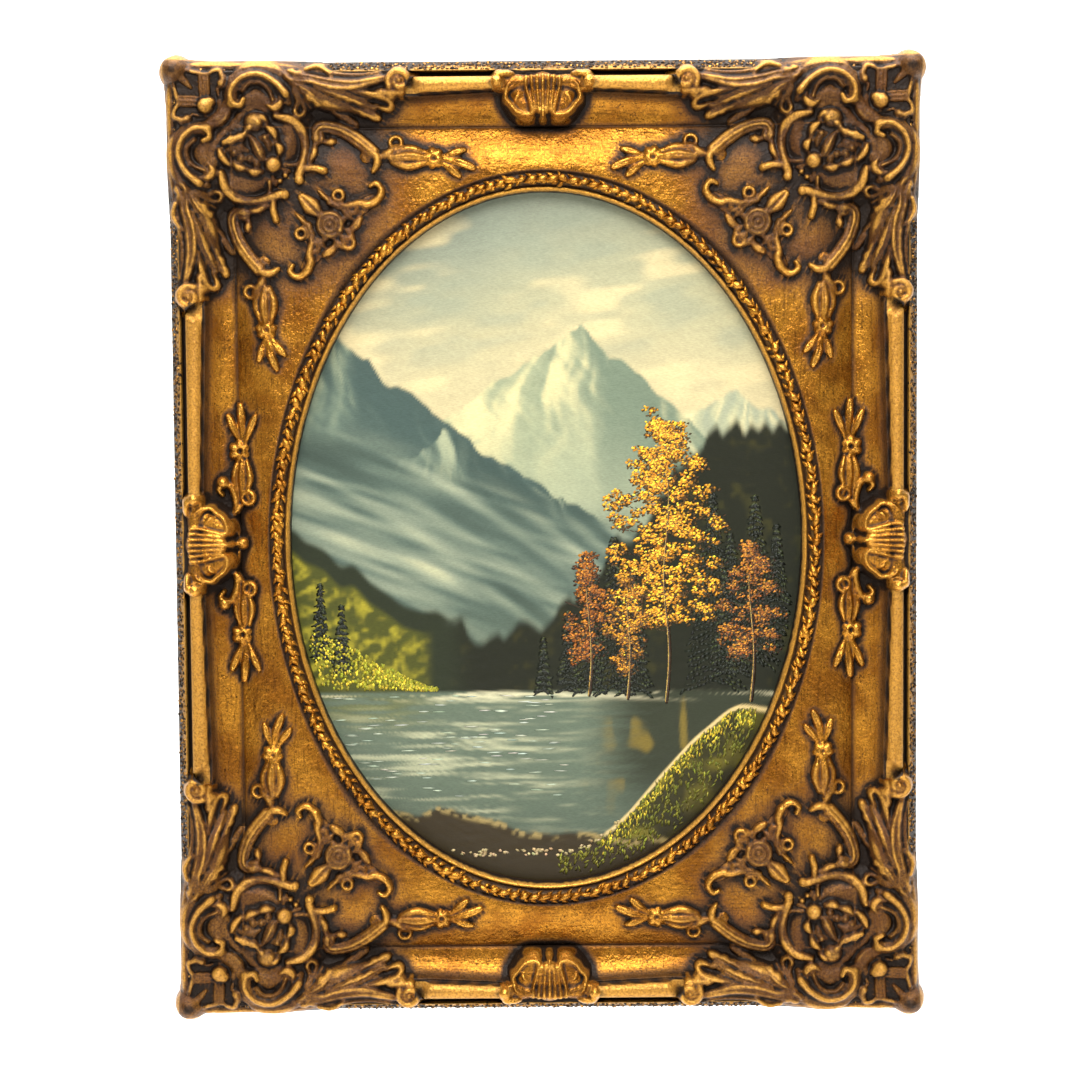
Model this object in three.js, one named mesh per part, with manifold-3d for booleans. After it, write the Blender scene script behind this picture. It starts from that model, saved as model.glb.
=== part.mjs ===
// A framed oil painting: a carved and gilded frame of the swept type, with an oval opening, and a painted
// oval board held in the rebate behind it. Millimetres.
//
// The shapes are worked out lying down: x to the right, y up the picture and z out from the wall, with the
// middle of the picture at x = y = 0 and the back of the frame at z = 0. The group then turns the picture
// upright, facing -Y, with the hanging point at the origin.

import * as THREE from "three";
import { mergeVertices } from "three/addons/utils/BufferGeometryUtils.js";
import Module from "manifold-3d";

const wasm = await Module();
wasm.setup();

// Driving dimensions of the frame
const FRAME_WIDTH = 418;
const FRAME_HEIGHT = 535;
const SIGHT_WIDTH = 287;
const SIGHT_HEIGHT = 389;

// Section of a rail, from its outer edge inwards. Heights are above the back.
const EDGE_HEIGHT = 14;
const BAND_WIDTH = 6.5;
const BAND_HEIGHT = 32;
const CHANNEL_WIDTH = 1;
const CHANNEL_HEIGHT = 25;
const ROD_HEIGHT = 39;
const ROD_AT_CORNER = 14.8;
const ROD_AT_CENTRE = 13.2;
const ROD_HALF_AT_CORNER = 4.6;
const ROD_HALF_AT_CENTRE = 2.8;
const COVE_TOP = 31;
const COVE_END = 37;
const COVE_FLOOR = 19;
const RAMP_WIDTH = 24;
const PANEL_HEIGHT = 27;

// Oval moulding round the opening, from the sight edge outwards
const LIP_WIDTH = 3.2;
const LIP_HEIGHT = 23.5;
const LEAF_WIDTH = 8.2;
const LEAF_RISE = 4;
const LEAF_CUT = 1.3;
const LEAF_COUNT = 42;
const SIGHT_DEPTH = 14;

// Board, its rebate and what holds it
const BOARD_THICKNESS = 3.2;
const BOARD_OVERLAP = 5;
const FIT_GAP = 0.3;
const REBATE_PLAY = 0.6;
const LEDGE_WIDTH = 14;
const CLIP_LENGTH = 25;
const CLIP_WIDTH = 10;
const CLIP_THICKNESS = 1;
const SCREW_HEAD_RADIUS = 3;
const SCREW_HEAD_HEIGHT = 1.8;
const SCREW_SHANK_RADIUS = 1.4;
const SCREW_LENGTH = 9;
const SCREW_SLOT = 0.8;

// Toothed hanger plate on the back of the top rail
const HANGER_LENGTH = 46;
const HANGER_WIDTH = 12;
const HANGER_THICKNESS = 1;
const HANGER_STANDOFF = 2.4;
const HANGER_FOOT = 11;
const HANGER_DROP = 24;
const TOOTH_DEPTH = 1.8;
const TOOTH_COUNT = 8;

// Cast ornament
const ORNAMENT_SINK = 2.5;
const ROD_START = 133;
const CARTOUCHE_COVER = 22;
const PAD_CENTRE = 40;
const PAD_RADIUS = 30;
const PAD_HEIGHT = 30;
const PAD_SLOPE = 0.8;

const SIGHT_A = SIGHT_WIDTH / 2;
const SIGHT_B = SIGHT_HEIGHT / 2;
const RAMP_END = COVE_END + RAMP_WIDTH;
const BOARD_FACE = SIGHT_DEPTH - FIT_GAP;
const LEDGE_HEIGHT = BOARD_FACE - BOARD_THICKNESS;
const REBATE_OFFSET = BOARD_OVERLAP + REBATE_PLAY;
const LEDGE_OFFSET = REBATE_OFFSET + LEDGE_WIDTH;
const HANGER_Y = FRAME_HEIGHT / 2 - HANGER_DROP;
const BELOW = 1;
const ROUND_SIDES = 8;
const OVAL_SIDES = 48;
const BOSS_TURN = 0.3;
const FACET_TOLERANCE = 0.35;

// Solids and geometries

function solid(geometry) {
  const bare = geometry.index ? geometry.toNonIndexed() : geometry.clone();
  bare.deleteAttribute("normal");
  bare.deleteAttribute("uv");
  const merged = mergeVertices(bare, 1e-4);
  const mesh = new wasm.Mesh({
    numProp: 3,
    vertProperties: merged.attributes.position.array,
    triVerts: new Uint32Array(merged.index.array),
  });
  return new wasm.Manifold(mesh);
}

function geometryOf(manifold) {
  const mesh = manifold.getMesh();
  const geometry = new THREE.BufferGeometry();
  geometry.setAttribute("position", new THREE.BufferAttribute(mesh.vertProperties, 3));
  geometry.setIndex(new THREE.BufferAttribute(mesh.triVerts, 1));
  geometry.computeVertexNormals();
  return geometry;
}

function joined(solids) {
  return solids.reduce((all, one) => all.add(one));
}

// The frame is solid: a pocket that the ornament seals off from the outside is filled.
function filled(cast) {
  return joined(cast.decompose().filter((shell) => shell.volume() > 0));
}

function moved(geometry, matrix) {
  const copy = geometry.clone().applyMatrix4(matrix);
  if (matrix.determinant() < 0) {
    const index = copy.index.array;
    for (let i = 0; i < index.length; i += 3) {
      [index[i + 1], index[i + 2]] = [index[i + 2], index[i + 1]];
    }
  }
  return copy;
}

// A closed surface through rows of points. Each row is a closed section, all with as many points.
// The rows close on themselves as a ring, or end in two flat caps.
function skin(rows, ring) {
  const count = rows[0].length;
  const points = rows.flat(2);
  const index = [];
  const spans = ring ? rows.length : rows.length - 1;
  for (let i = 0; i < spans; i++)
    for (let j = 0; j < count; j++) {
      const here = i * count;
      const next = ((i + 1) % rows.length) * count;
      const k = (j + 1) % count;
      index.push(here + j, next + j, next + k, here + j, next + k, here + k);
    }
  if (!ring) {
    const last = (rows.length - 1) * count;
    for (let j = 1; j < count - 1; j++) index.push(0, j, j + 1, last, last + j + 1, last + j);
  }
  const geometry = new THREE.BufferGeometry();
  geometry.setAttribute("position", new THREE.Float32BufferAttribute(points, 3));
  geometry.setIndex(index);
  return geometry;
}

function facingOut(geometry) {
  const made = solid(geometry);
  if (made.volume() > 0) return geometry;
  const index = geometry.index.array;
  for (let i = 0; i < index.length; i += 3) {
    [index[i + 1], index[i + 2]] = [index[i + 2], index[i + 1]];
  }
  return geometry;
}

function ovalPoint(offset, turn) {
  const angle = turn * 2 * Math.PI;
  return [(SIGHT_A + offset) * Math.cos(angle), (SIGHT_B + offset) * Math.sin(angle)];
}

function ovalPlug(offset, low, high, sides) {
  const shape = new THREE.Shape();
  for (let i = 0; i < sides; i++) {
    const [x, y] = ovalPoint(offset, i / sides);
    if (i) shape.lineTo(x, y);
    else shape.moveTo(x, y);
  }
  const thickness = { depth: high - low, bevelEnabled: false, curveSegments: 1 };
  const plug = new THREE.ExtrudeGeometry(shape, thickness);
  return plug.translate(0, 0, low);
}

function between(a, b, share) {
  return a + (b - a) * share;
}

// Rails

// The rod leans outwards and gets thinner from the corner ornament to the middle of the rail.
function rodAt(along, half) {
  const share = Math.min(Math.max((along - ROD_START) / (half - ROD_START), 0), 1);
  return {
    place: between(ROD_AT_CORNER, ROD_AT_CENTRE, share),
    radius: between(ROD_HALF_AT_CORNER, ROD_HALF_AT_CENTRE, share),
  };
}

// The visible outline of the rail's section, as [distance in from the edge, height]. Under the corner
// ornament and the cartouches, where there is no rod, the rod's points lie on a plain slope.
function railOutline(rod, hasRod) {
  const rodBase = ROD_HEIGHT - rod.radius;
  const coveStart = rod.place + rod.radius;
  const middle = [[BAND_WIDTH + CHANNEL_WIDTH / 2, CHANNEL_HEIGHT]];
  const rodSteps = 3;
  for (let i = 0; i < rodSteps; i++) {
    const angle = Math.PI * (1 - i / rodSteps);
    middle.push([rod.place + rod.radius * Math.cos(angle), rodBase + rod.radius * Math.sin(angle)]);
  }
  const outline = [[0, EDGE_HEIGHT], [BAND_WIDTH, BAND_HEIGHT]];
  for (const [across, height] of middle) {
    const share = (across - BAND_WIDTH) / (coveStart - BAND_WIDTH);
    outline.push([across, hasRod ? height : between(BAND_HEIGHT, COVE_TOP, share)]);
  }
  const coveSteps = 2;
  for (let i = 0; i <= coveSteps; i++) {
    const angle = (Math.PI / 2) * (i / coveSteps);
    const across = between(coveStart, COVE_END, 1 - Math.cos(angle));
    const top = hasRod && i === 0 ? rodBase : between(COVE_TOP, COVE_FLOOR, Math.sin(angle));
    outline.push([across, top]);
  }
  const rampSteps = 2;
  for (let i = 1; i <= rampSteps; i++) {
    const angle = (Math.PI / 2) * (i / rampSteps);
    const height = between(COVE_FLOOR, PANEL_HEIGHT, Math.sin(angle));
    outline.push([COVE_END + RAMP_WIDTH * (i / rampSteps), height]);
  }
  return outline;
}

function heightAcross(outline, across) {
  if (across <= 0) return outline[0][1];
  for (let i = 1; i < outline.length; i++) {
    const [s0, h0] = outline[i - 1];
    const [s1, h1] = outline[i];
    if (across <= s1 && s1 > s0) return between(h0, h1, (across - s0) / (s1 - s0));
  }
  return PANEL_HEIGHT;
}

const CORNER_OUTLINE = railOutline(rodAt(0, FRAME_WIDTH / 2), false);
const CENTRE_OUTLINE = railOutline(rodAt(FRAME_WIDTH / 2, FRAME_WIDTH / 2), false);

// Height of the plain frame near a corner, u and v in from its two edges.
function cornerGround(u, v) {
  const rail = heightAcross(CORNER_OUTLINE, Math.min(u, v));
  const fromPad = Math.hypot(u - PAD_CENTRE, v - PAD_CENTRE);
  return Math.max(rail, PAD_HEIGHT - PAD_SLOPE * Math.max(fromPad - PAD_RADIUS, 0));
}

function railRing() {
  const halfX = FRAME_WIDTH / 2;
  const halfY = FRAME_HEIGHT / 2;
  const rows = [];
  const addRow = (place, half, along, hasRod) => {
    const outline = railOutline(rodAt(Math.min(along, 2 * half - along), half), hasRod);
    rows.push([[0, 0], ...outline, [RAMP_END, 0]].map(([s, h]) => [...place(s, along), h]));
  };
  const sides = [
    [(s, d) => [-halfX + d, halfY - s], halfX],
    [(s, d) => [halfX - s, halfY - d], halfY],
    [(s, d) => [halfX - d, -halfY + s], halfX],
    [(s, d) => [-halfX + s, -halfY + d], halfY],
  ];
  for (const [place, half] of sides) {
    const rodEnd = half - CARTOUCHE_COVER;
    addRow((s) => place(s, s), half, 0, false);
    addRow(place, half, ROD_START, false);
    addRow(place, half, ROD_START + BELOW, true);
    addRow(place, half, rodEnd - BELOW, true);
    addRow(place, half, rodEnd, false);
    addRow(place, half, 2 * half - rodEnd, false);
    addRow(place, half, 2 * half - rodEnd + BELOW, true);
    addRow(place, half, 2 * half - ROD_START - BELOW, true);
    addRow(place, half, 2 * half - ROD_START, false);
  }
  return facingOut(skin(rows, true));
}

function spandrelSlab() {
  const overlap = 1;
  const width = FRAME_WIDTH - 2 * (RAMP_END - overlap);
  const height = FRAME_HEIGHT - 2 * (RAMP_END - overlap);
  return new THREE.BoxGeometry(width, height, PANEL_HEIGHT).translate(0, 0, PANEL_HEIGHT / 2);
}

// The carved leaf border and the smooth lip inside it. Every second section is cut in, so that it reads
// as a row of leaves.
function ovalMoulding() {
  const rows = [];
  const sections = LEAF_COUNT * 2;
  const leafMiddle = LIP_WIDTH + LEAF_WIDTH / 2;
  const leafEnd = LIP_WIDTH + LEAF_WIDTH;
  for (let i = 0; i < sections; i++) {
    const cut = (i % 2) * LEAF_CUT;
    const crest = PANEL_HEIGHT + LEAF_RISE - cut;
    const section = [
      [0, SIGHT_DEPTH],
      [LIP_WIDTH, LIP_HEIGHT],
      [leafMiddle, crest],
      [leafEnd, PANEL_HEIGHT - FIT_GAP],
      [leafEnd, SIGHT_DEPTH],
    ];
    rows.push(section.map(([offset, h]) => [...ovalPoint(offset, i / sections), h]));
  }
  return facingOut(skin(rows, true));
}

// Strokes of ornament. A stroke is a path on the ground, swept with a section that is wide and high in
// shares of its half width and lift.

const RIDGE = [[-1, 0], [0, 1], [1, 0]];
const ROUND = [[-1, 0], [-0.5, 1], [0.5, 1], [1, 0]];

// How a stroke's width changes along it.
const even = () => 1;
const swell = (t) => 0.5 + 0.5 * Math.sin(Math.PI * t);
const leafTaper = (t) => 0.5 + 0.5 * Math.sin(Math.PI * (0.15 + 0.75 * t));
const lobeTaper = (t) => 0.8 + 0.2 * Math.sin(Math.PI * t);

function curve(points, count) {
  const line = new THREE.CatmullRomCurve3(points.map(([u, v]) => new THREE.Vector3(u, v, 0)));
  return line.getSpacedPoints(count).map((p) => [p.x, p.y]);
}

function arc(centre, radii, from, to, count) {
  const path = [];
  for (let i = 0; i <= count; i++) {
    const share = i / count;
    const angle = THREE.MathUtils.degToRad(between(from, to, share));
    const radius = between(radii[0], radii[1], share);
    path.push([centre[0] + radius * Math.cos(angle), centre[1] + radius * Math.sin(angle)]);
  }
  return path;
}

function stroke(path, half, lift, ground, section = RIDGE, taper = swell) {
  const last = path.length - 1;
  const spread = 1 + ORNAMENT_SINK / lift / 2;
  const rows = path.map(([u, v], i) => {
    const before = path[Math.max(i - 1, 0)];
    const after = path[Math.min(i + 1, last)];
    const run = Math.hypot(after[0] - before[0], after[1] - before[1]);
    const side = [-(after[1] - before[1]) / run, (after[0] - before[0]) / run];
    const size = taper(i / last);
    const base = ground(u, v);
    return section.map(([across, up]) => {
      const out = across * half * size * (up ? 1 : spread);
      const point = [u + side[0] * out, v + side[1] * out];
      const buried = Math.min(base, ground(...point)) - ORNAMENT_SINK;
      const height = up ? base + lift * Math.sqrt(size) * up : buried;
      return [...point, height];
    });
  });
  return facingOut(skin(rows, false));
}

// A round boss: a flat-topped dome, with its edge drawn in between petals.
function boss(centre, radius, lift, ground, sides = 6, petalCut = 0) {
  const base = ground(...centre);
  const rows = [[1, -ORNAMENT_SINK], [1, lift * 0.3], [0.5, lift]].map(([share, up]) => {
    const ring = [];
    for (let i = 0; i < sides; i++) {
      const angle = (2 * Math.PI * (i + BOSS_TURN)) / sides;
      const r = radius * share * (1 - petalCut * (i % 2));
      ring.push([centre[0] + r * Math.cos(angle), centre[1] + r * Math.sin(angle), base + up]);
    }
    return ring;
  });
  return facingOut(skin(rows, false));
}

// Strokes on one side of a corner's diagonal: u runs along the rail and v across it.
function cornerHalf() {
  const ground = cornerGround;
  return [
    // rim of the little shell beside the corner knob
    stroke(curve([[7, 2.5], [18, 2], [28, 3], [31.5, 10]], 3), 2.2, 6, ground),
    // C-scroll
    stroke(arc([51.5, 20.5], [13, 14.5], 150, 370, 4), 3.2, 10, ground),
    // long leaves that run out along the rail
    stroke(curve([[72, 10], [80, 15], [89, 23]], 2), 3.2, 8, ground, RIDGE, leafTaper),
    stroke(curve([[78, 15], [98, 22], [117, 30]], 3), 3.2, 8, ground, RIDGE, leafTaper),
    stroke(curve([[86, 14], [105, 19.5], [124, 26.5]], 3), 3, 7, ground, RIDGE, leafTaper),
    stroke(curve([[72, 8], [90, 12], [105, 14.5], [121, 11.5]], 3), 3.2, 8, ground, RIDGE, leafTaper),
    // volute where the rod begins
    boss([127.8, 12.2], 7, 9, ground, 7),
    // rib that frames the cartouche
    stroke(curve([[63, 31.5], [70.5, 33.5], [75.5, 43], [76.3, 54], [73, 66]], 3), 2, 6, ground),
    // spray: a curled leaf, a husk, a flower and a three-part tip
    stroke(
      curve([[88, 45], [83.6, 39], [92, 35.6], [108, 42.5], [116.5, 50], [117.3, 60]], 5),
      3.6, 6.5, ground,
    ),
    stroke(curve([[122.5, 54], [133, 54.8], [145, 54.6]], 3), 4, 5, ground, RIDGE, swell),
    boss([149.5, 54.8], 5.6, 5, ground, 8, 0.25),
    stroke([[155, 54.5], [168.5, 50]], 2, 4, ground),
    stroke([[153, 56], [173, 58.5]], 2.2, 4, ground),
    stroke([[155, 57.5], [164.5, 63.5]], 2, 4, ground),
    // wing and leaf beside the rose
    stroke(curve([[106, 82.5], [113, 79.8], [119.3, 75.5], [119, 69]], 3), 2.2, 4.5, ground),
    stroke([[97, 85.5], [106.5, 92.5]], 2.3, 4, ground),
  ];
}

// Strokes that stand on the diagonal itself.
function cornerMiddle() {
  const ground = cornerGround;
  const knobGround = () => EDGE_HEIGHT;
  return [
    boss([2.7, 2.7], 8.2, 22, knobGround, 10),
    stroke([[3, 3], [13, 13], [21, 21]], 2.6, 8, () => BAND_HEIGHT, RIDGE, even),
    boss([22.5, 22.5], 4.8, 9, ground),
    boss([46, 46], 18.5, 6, ground, 14, 0.16),
    boss([45, 45], 8.5, 10, ground, 7),
    stroke([[73.5, 73.5], [79, 79], [84.8, 84.8]], 4.2, 5.5, ground, ROUND, swell),
    boss([91.5, 91.5], 6.8, 4.5, ground, 10, 0.1),
    boss([91.5, 91.5], 3, 6.5, ground, 5),
  ];
}

function cornerPad() {
  const sides = 12;
  const reach = PAD_RADIUS + (PAD_HEIGHT - COVE_FLOOR) / PAD_SLOPE + ORNAMENT_SINK;
  const edge = PAD_HEIGHT - PAD_SLOPE * (reach - PAD_RADIUS);
  const levels = [[reach, EDGE_HEIGHT / 2], [reach, edge], [PAD_RADIUS, PAD_HEIGHT]];
  const rows = levels.map(([radius, height]) => {
    const ring = [];
    for (let i = 0; i < sides; i++) {
      const angle = (2 * Math.PI * (i + 0.5)) / sides;
      const u = Math.max(PAD_CENTRE + radius * Math.cos(angle), BAND_WIDTH / 2);
      const v = Math.max(PAD_CENTRE + radius * Math.sin(angle), BAND_WIDTH / 2);
      ring.push([u, v, height]);
    }
    return ring;
  });
  return facingOut(skin(rows, false));
}

// A corner of ornament for the top left, in u and v. The others are its mirror images.
function corners() {
  const swap = new THREE.Matrix4().set(0, 1, 0, 0, 1, 0, 0, 0, 0, 0, 1, 0, 0, 0, 0, 1);
  const half = cornerHalf();
  const all = [cornerPad(), ...cornerMiddle(), ...half, ...half.map((g) => moved(g, swap))];
  const made = joined(all.map(solid));
  const corner = geometryOf(made);
  const placed = [];
  for (const sideX of [-1, 1])
    for (const sideY of [-1, 1]) {
      const matrix = new THREE.Matrix4().makeScale(-sideX, -sideY, 1);
      matrix.setPosition((sideX * FRAME_WIDTH) / 2, (sideY * FRAME_HEIGHT) / 2, 0);
      placed.push(solid(moved(corner, matrix)));
    }
  return placed;
}

// One half of the cartouche in the middle of a rail: u runs along the rail from its middle and v across.
function centreHalf(ground) {
  return [
    stroke([[4.6, 1.5], [3.6, 13.5], [3.4, 25]], 1.3, 13.5, ground, RIDGE, even),
    stroke(curve([[8.5, 4], [12, 17], [11, 29]], 3), 6, 8.5, ground, ROUND, lobeTaper),
    stroke([[10, 8], [19, 9.5], [29, 12.5]], 5, 9, ground, RIDGE, (t) => 1 - 0.45 * t),
  ];
}

// The side rails have a spray of flowers above and below the cartouche.
function centreSpray(ground) {
  return [
    stroke(curve([[13, 31], [22, 33.5], [32.5, 31], [32, 26]], 3), 2, 4.5, ground),
    stroke([[29, 36.5], [38, 36.5], [47, 36.5]], 3.4, 4.5, ground, RIDGE, swell),
    boss([52, 36.5], 5.6, 5, ground, 8, 0.25),
    stroke([[57, 35.5], [72, 29]], 2, 4, ground),
    stroke([[56, 36.5], [79, 35.5]], 2.2, 4, ground),
    stroke([[57, 38], [72.5, 44.5]], 2, 4, ground),
  ];
}

function centres() {
  const mirror = new THREE.Matrix4().makeScale(-1, 1, 1);
  const ground = (u, v) => heightAcross(CENTRE_OUTLINE, v);
  const domed = (u, v) => Math.min(ground(u, v), BAND_HEIGHT);
  const middle = [
    stroke([[0, 1.5], [0, 14], [0, 28]], 1.5, 15, domed, RIDGE, even),
    boss([0, 31], 2.8, 8, ground),
  ];
  const half = centreHalf(domed);
  const cartouche = [...middle, ...half, ...half.map((g) => moved(g, mirror))];
  const spray = centreSpray(ground);
  const sideExtra = [boss([0, 36], 3.3, 6, ground), ...spray, ...spray.map((g) => moved(g, mirror))];
  const placed = [];
  const halfX = FRAME_WIDTH / 2;
  const halfY = FRAME_HEIGHT / 2;
  for (const side of [-1, 1]) {
    const upright = new THREE.Matrix4().makeScale(1, -side, 1).setPosition(0, side * halfY, 0);
    const lying = new THREE.Matrix4().set(0, -side, 0, side * halfX, 1, 0, 0, 0, 0, 0, 1, 0, 0, 0, 0, 1);
    for (const g of cartouche) placed.push(solid(moved(g, upright)), solid(moved(g, lying)));
    for (const g of sideExtra) placed.push(solid(moved(g, lying)));
  }
  return placed;
}

// Board, clips, screws and hanger

const CLIP_TURNS = [0, 0.25, 0.5, 0.75];

// Each clip lies on the ledge and reaches over the board. Its own x runs outwards.
function clipPlace(turn) {
  const middle = REBATE_OFFSET + LEDGE_WIDTH / 2 - CLIP_LENGTH / 2 + CLIP_WIDTH / 2;
  const [x, y] = ovalPoint(middle, turn);
  const matrix = new THREE.Matrix4().makeRotationZ(turn * 2 * Math.PI);
  return matrix.setPosition(x, y, 0);
}

function roundEnded(length, width) {
  const shape = new THREE.Shape();
  const reach = (length - width) / 2;
  shape.absarc(reach, 0, width / 2, -Math.PI / 2, Math.PI / 2, false);
  shape.absarc(-reach, 0, width / 2, Math.PI / 2, (3 * Math.PI) / 2, false);
  return shape;
}

function roundHole(x, y, radius) {
  const hole = new THREE.Path();
  hole.absarc(x, y, radius, 0, 2 * Math.PI, true);
  return hole;
}

const CLIP_SCREW_X = (CLIP_LENGTH - CLIP_WIDTH) / 2;

function clip() {
  const shape = roundEnded(CLIP_LENGTH, CLIP_WIDTH);
  shape.holes.push(roundHole(CLIP_SCREW_X, 0, SCREW_SHANK_RADIUS + FIT_GAP));
  const plate = new THREE.ExtrudeGeometry(shape, {
    depth: CLIP_THICKNESS, bevelEnabled: false, curveSegments: ROUND_SIDES / 2 });
  return plate.translate(0, 0, LEDGE_HEIGHT - FIT_GAP - CLIP_THICKNESS);
}

// A slotted screw, driven from the back: its seat is at z = 0, its head below and its shank above.
function screw() {
  const profile = [
    [0, -SCREW_HEAD_HEIGHT],
    [SCREW_HEAD_RADIUS * 0.75, -SCREW_HEAD_HEIGHT],
    [SCREW_HEAD_RADIUS, 0],
    [SCREW_SHANK_RADIUS, 0],
    [0, SCREW_LENGTH],
  ];
  const outline = profile.map(([radius, z]) => new THREE.Vector2(radius, z));
  const lathe = new THREE.LatheGeometry(outline, ROUND_SIDES).rotateX(Math.PI / 2);
  const slot = new THREE.BoxGeometry(SCREW_HEAD_RADIUS * 3, SCREW_SLOT, SCREW_HEAD_HEIGHT);
  slot.translate(0, 0, -SCREW_HEAD_HEIGHT);
  return geometryOf(solid(facingOut(lathe)).subtract(solid(slot)));
}

function pilotHole() {
  const depth = SCREW_LENGTH + BELOW;
  const radius = SCREW_SHANK_RADIUS + FIT_GAP;
  const hole = new THREE.CylinderGeometry(radius, radius, depth, ROUND_SIDES);
  return hole.rotateX(Math.PI / 2).translate(0, 0, depth / 2 - BELOW / 2);
}

const HANGER_SCREW_X = (HANGER_LENGTH - HANGER_FOOT) / 2;

// The strip is bent so that its middle stands off the frame, and its lower edge is cut into teeth.
function hanger() {
  const half = HANGER_LENGTH / 2;
  const bend = half - HANGER_FOOT;
  const rise = bend - HANGER_STANDOFF;
  const inner = [
    [-half, 0], [-bend, 0], [-rise, HANGER_STANDOFF],
    [rise, HANGER_STANDOFF], [bend, 0], [half, 0],
  ];
  const outer = inner.map(([x, y]) => [x, y + HANGER_THICKNESS]).reverse();
  const section = new THREE.Shape([...inner, ...outer].map(([x, y]) => new THREE.Vector2(x, y)));
  const strip = new THREE.ExtrudeGeometry(section, { depth: HANGER_WIDTH, bevelEnabled: false });
  let plate = solid(strip.rotateX(-Math.PI / 2).translate(0, 0, -FIT_GAP));
  const pitch = (2 * rise) / TOOTH_COUNT;
  for (let i = 0; i < TOOTH_COUNT; i++) {
    const x = -rise + pitch * (i + 0.5);
    const notch = [[-0.5, -BELOW], [0.5, -BELOW], [0.5, 0], [0, TOOTH_DEPTH], [-0.5, 0]];
    const tooth = new THREE.Shape(notch.map(([across, y]) => new THREE.Vector2(x + pitch * across, y)));
    const cutter = new THREE.ExtrudeGeometry(tooth, { depth: 3 * HANGER_STANDOFF, bevelEnabled: false });
    plate = plate.subtract(solid(cutter.translate(0, 0, -2.5 * HANGER_STANDOFF)));
  }
  for (const side of [-1, 1]) {
    const hole = pilotHole().translate(side * HANGER_SCREW_X, HANGER_WIDTH / 2, -SCREW_LENGTH / 2);
    plate = plate.subtract(solid(hole));
  }
  return geometryOf(plate);
}

function frameSolid() {
  let frame = joined([solid(railRing()), solid(spandrelSlab())]);
  const cutTo = LIP_WIDTH + LEAF_WIDTH / 2;
  frame = frame.subtract(solid(ovalPlug(cutTo, -BELOW, PANEL_HEIGHT + BELOW, OVAL_SIDES)));
  frame = frame.add(solid(ovalMoulding()));
  frame = filled(joined([frame, ...corners(), ...centres()]));
  frame = frame.subtract(solid(ovalPlug(REBATE_OFFSET, -BELOW, SIGHT_DEPTH, OVAL_SIDES)));
  frame = frame.subtract(solid(ovalPlug(LEDGE_OFFSET, -BELOW, LEDGE_HEIGHT, OVAL_SIDES)));
  for (const turn of CLIP_TURNS) {
    const hole = pilotHole().translate(CLIP_SCREW_X, 0, LEDGE_HEIGHT);
    frame = frame.subtract(solid(hole.applyMatrix4(clipPlace(turn))));
  }
  for (const side of [-1, 1]) {
    const hole = pilotHole().translate(side * HANGER_SCREW_X, HANGER_Y + HANGER_WIDTH / 2, 0);
    frame = frame.subtract(solid(hole));
  }
  return filled(frame.asOriginal().simplify(FACET_TOLERANCE));
}

// Materials
const gilt = new THREE.MeshStandardMaterial({ color: 0xa8761f, metalness: 0.75, roughness: 0.42 });
const paint = new THREE.MeshStandardMaterial({ color: 0x5d7168, metalness: 0, roughness: 0.3 });
const steel = new THREE.MeshStandardMaterial({ color: 0x9a9a96, metalness: 1, roughness: 0.4 });
const brass = new THREE.MeshStandardMaterial({ color: 0xb08d4a, metalness: 1, roughness: 0.38 });

function piece(name, geometry, material) {
  const mesh = new THREE.Mesh(geometry, material);
  mesh.name = name;
  return mesh;
}

const picture = new THREE.Group();
picture.add(piece("frame", geometryOf(frameSolid()), gilt));
picture.add(piece("painted_board", ovalPlug(BOARD_OVERLAP, LEDGE_HEIGHT, BOARD_FACE, OVAL_SIDES), paint));

CLIP_TURNS.forEach((turn, i) => {
  const place = clipPlace(turn);
  picture.add(piece(`board_clip_${i + 1}`, clip().applyMatrix4(place), steel));
  const driven = screw().translate(CLIP_SCREW_X, 0, LEDGE_HEIGHT - 2 * FIT_GAP - CLIP_THICKNESS);
  picture.add(piece(`clip_screw_${i + 1}`, driven.applyMatrix4(place), brass));
});

picture.add(piece("toothed_hanger", hanger().translate(0, HANGER_Y, 0), steel));
["left", "right"].forEach((side, i) => {
  const seat = -2 * FIT_GAP - HANGER_THICKNESS;
  const driven = screw().translate((2 * i - 1) * HANGER_SCREW_X, HANGER_Y + HANGER_WIDTH / 2, seat);
  picture.add(piece(`hanger_screw_${side}`, driven, brass));
});

picture.position.y = -HANGER_Y;
const hung = new THREE.Group();
hung.add(picture);
hung.rotation.x = Math.PI / 2;

export default hung;
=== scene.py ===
# %% [markdown]
# # A carved and gilded frame with an oval oil painting
# This lesson dresses a plain solid model of a framed picture. On the real one a wooden frame carries cast
# ornament, all of it gilded and then toned with dark wax, and a painted oval board sits in the rebate
# behind it. The solid model gives every size, so each piece here is made to lie exactly on it.

# %% Load the solid model
import math

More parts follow.
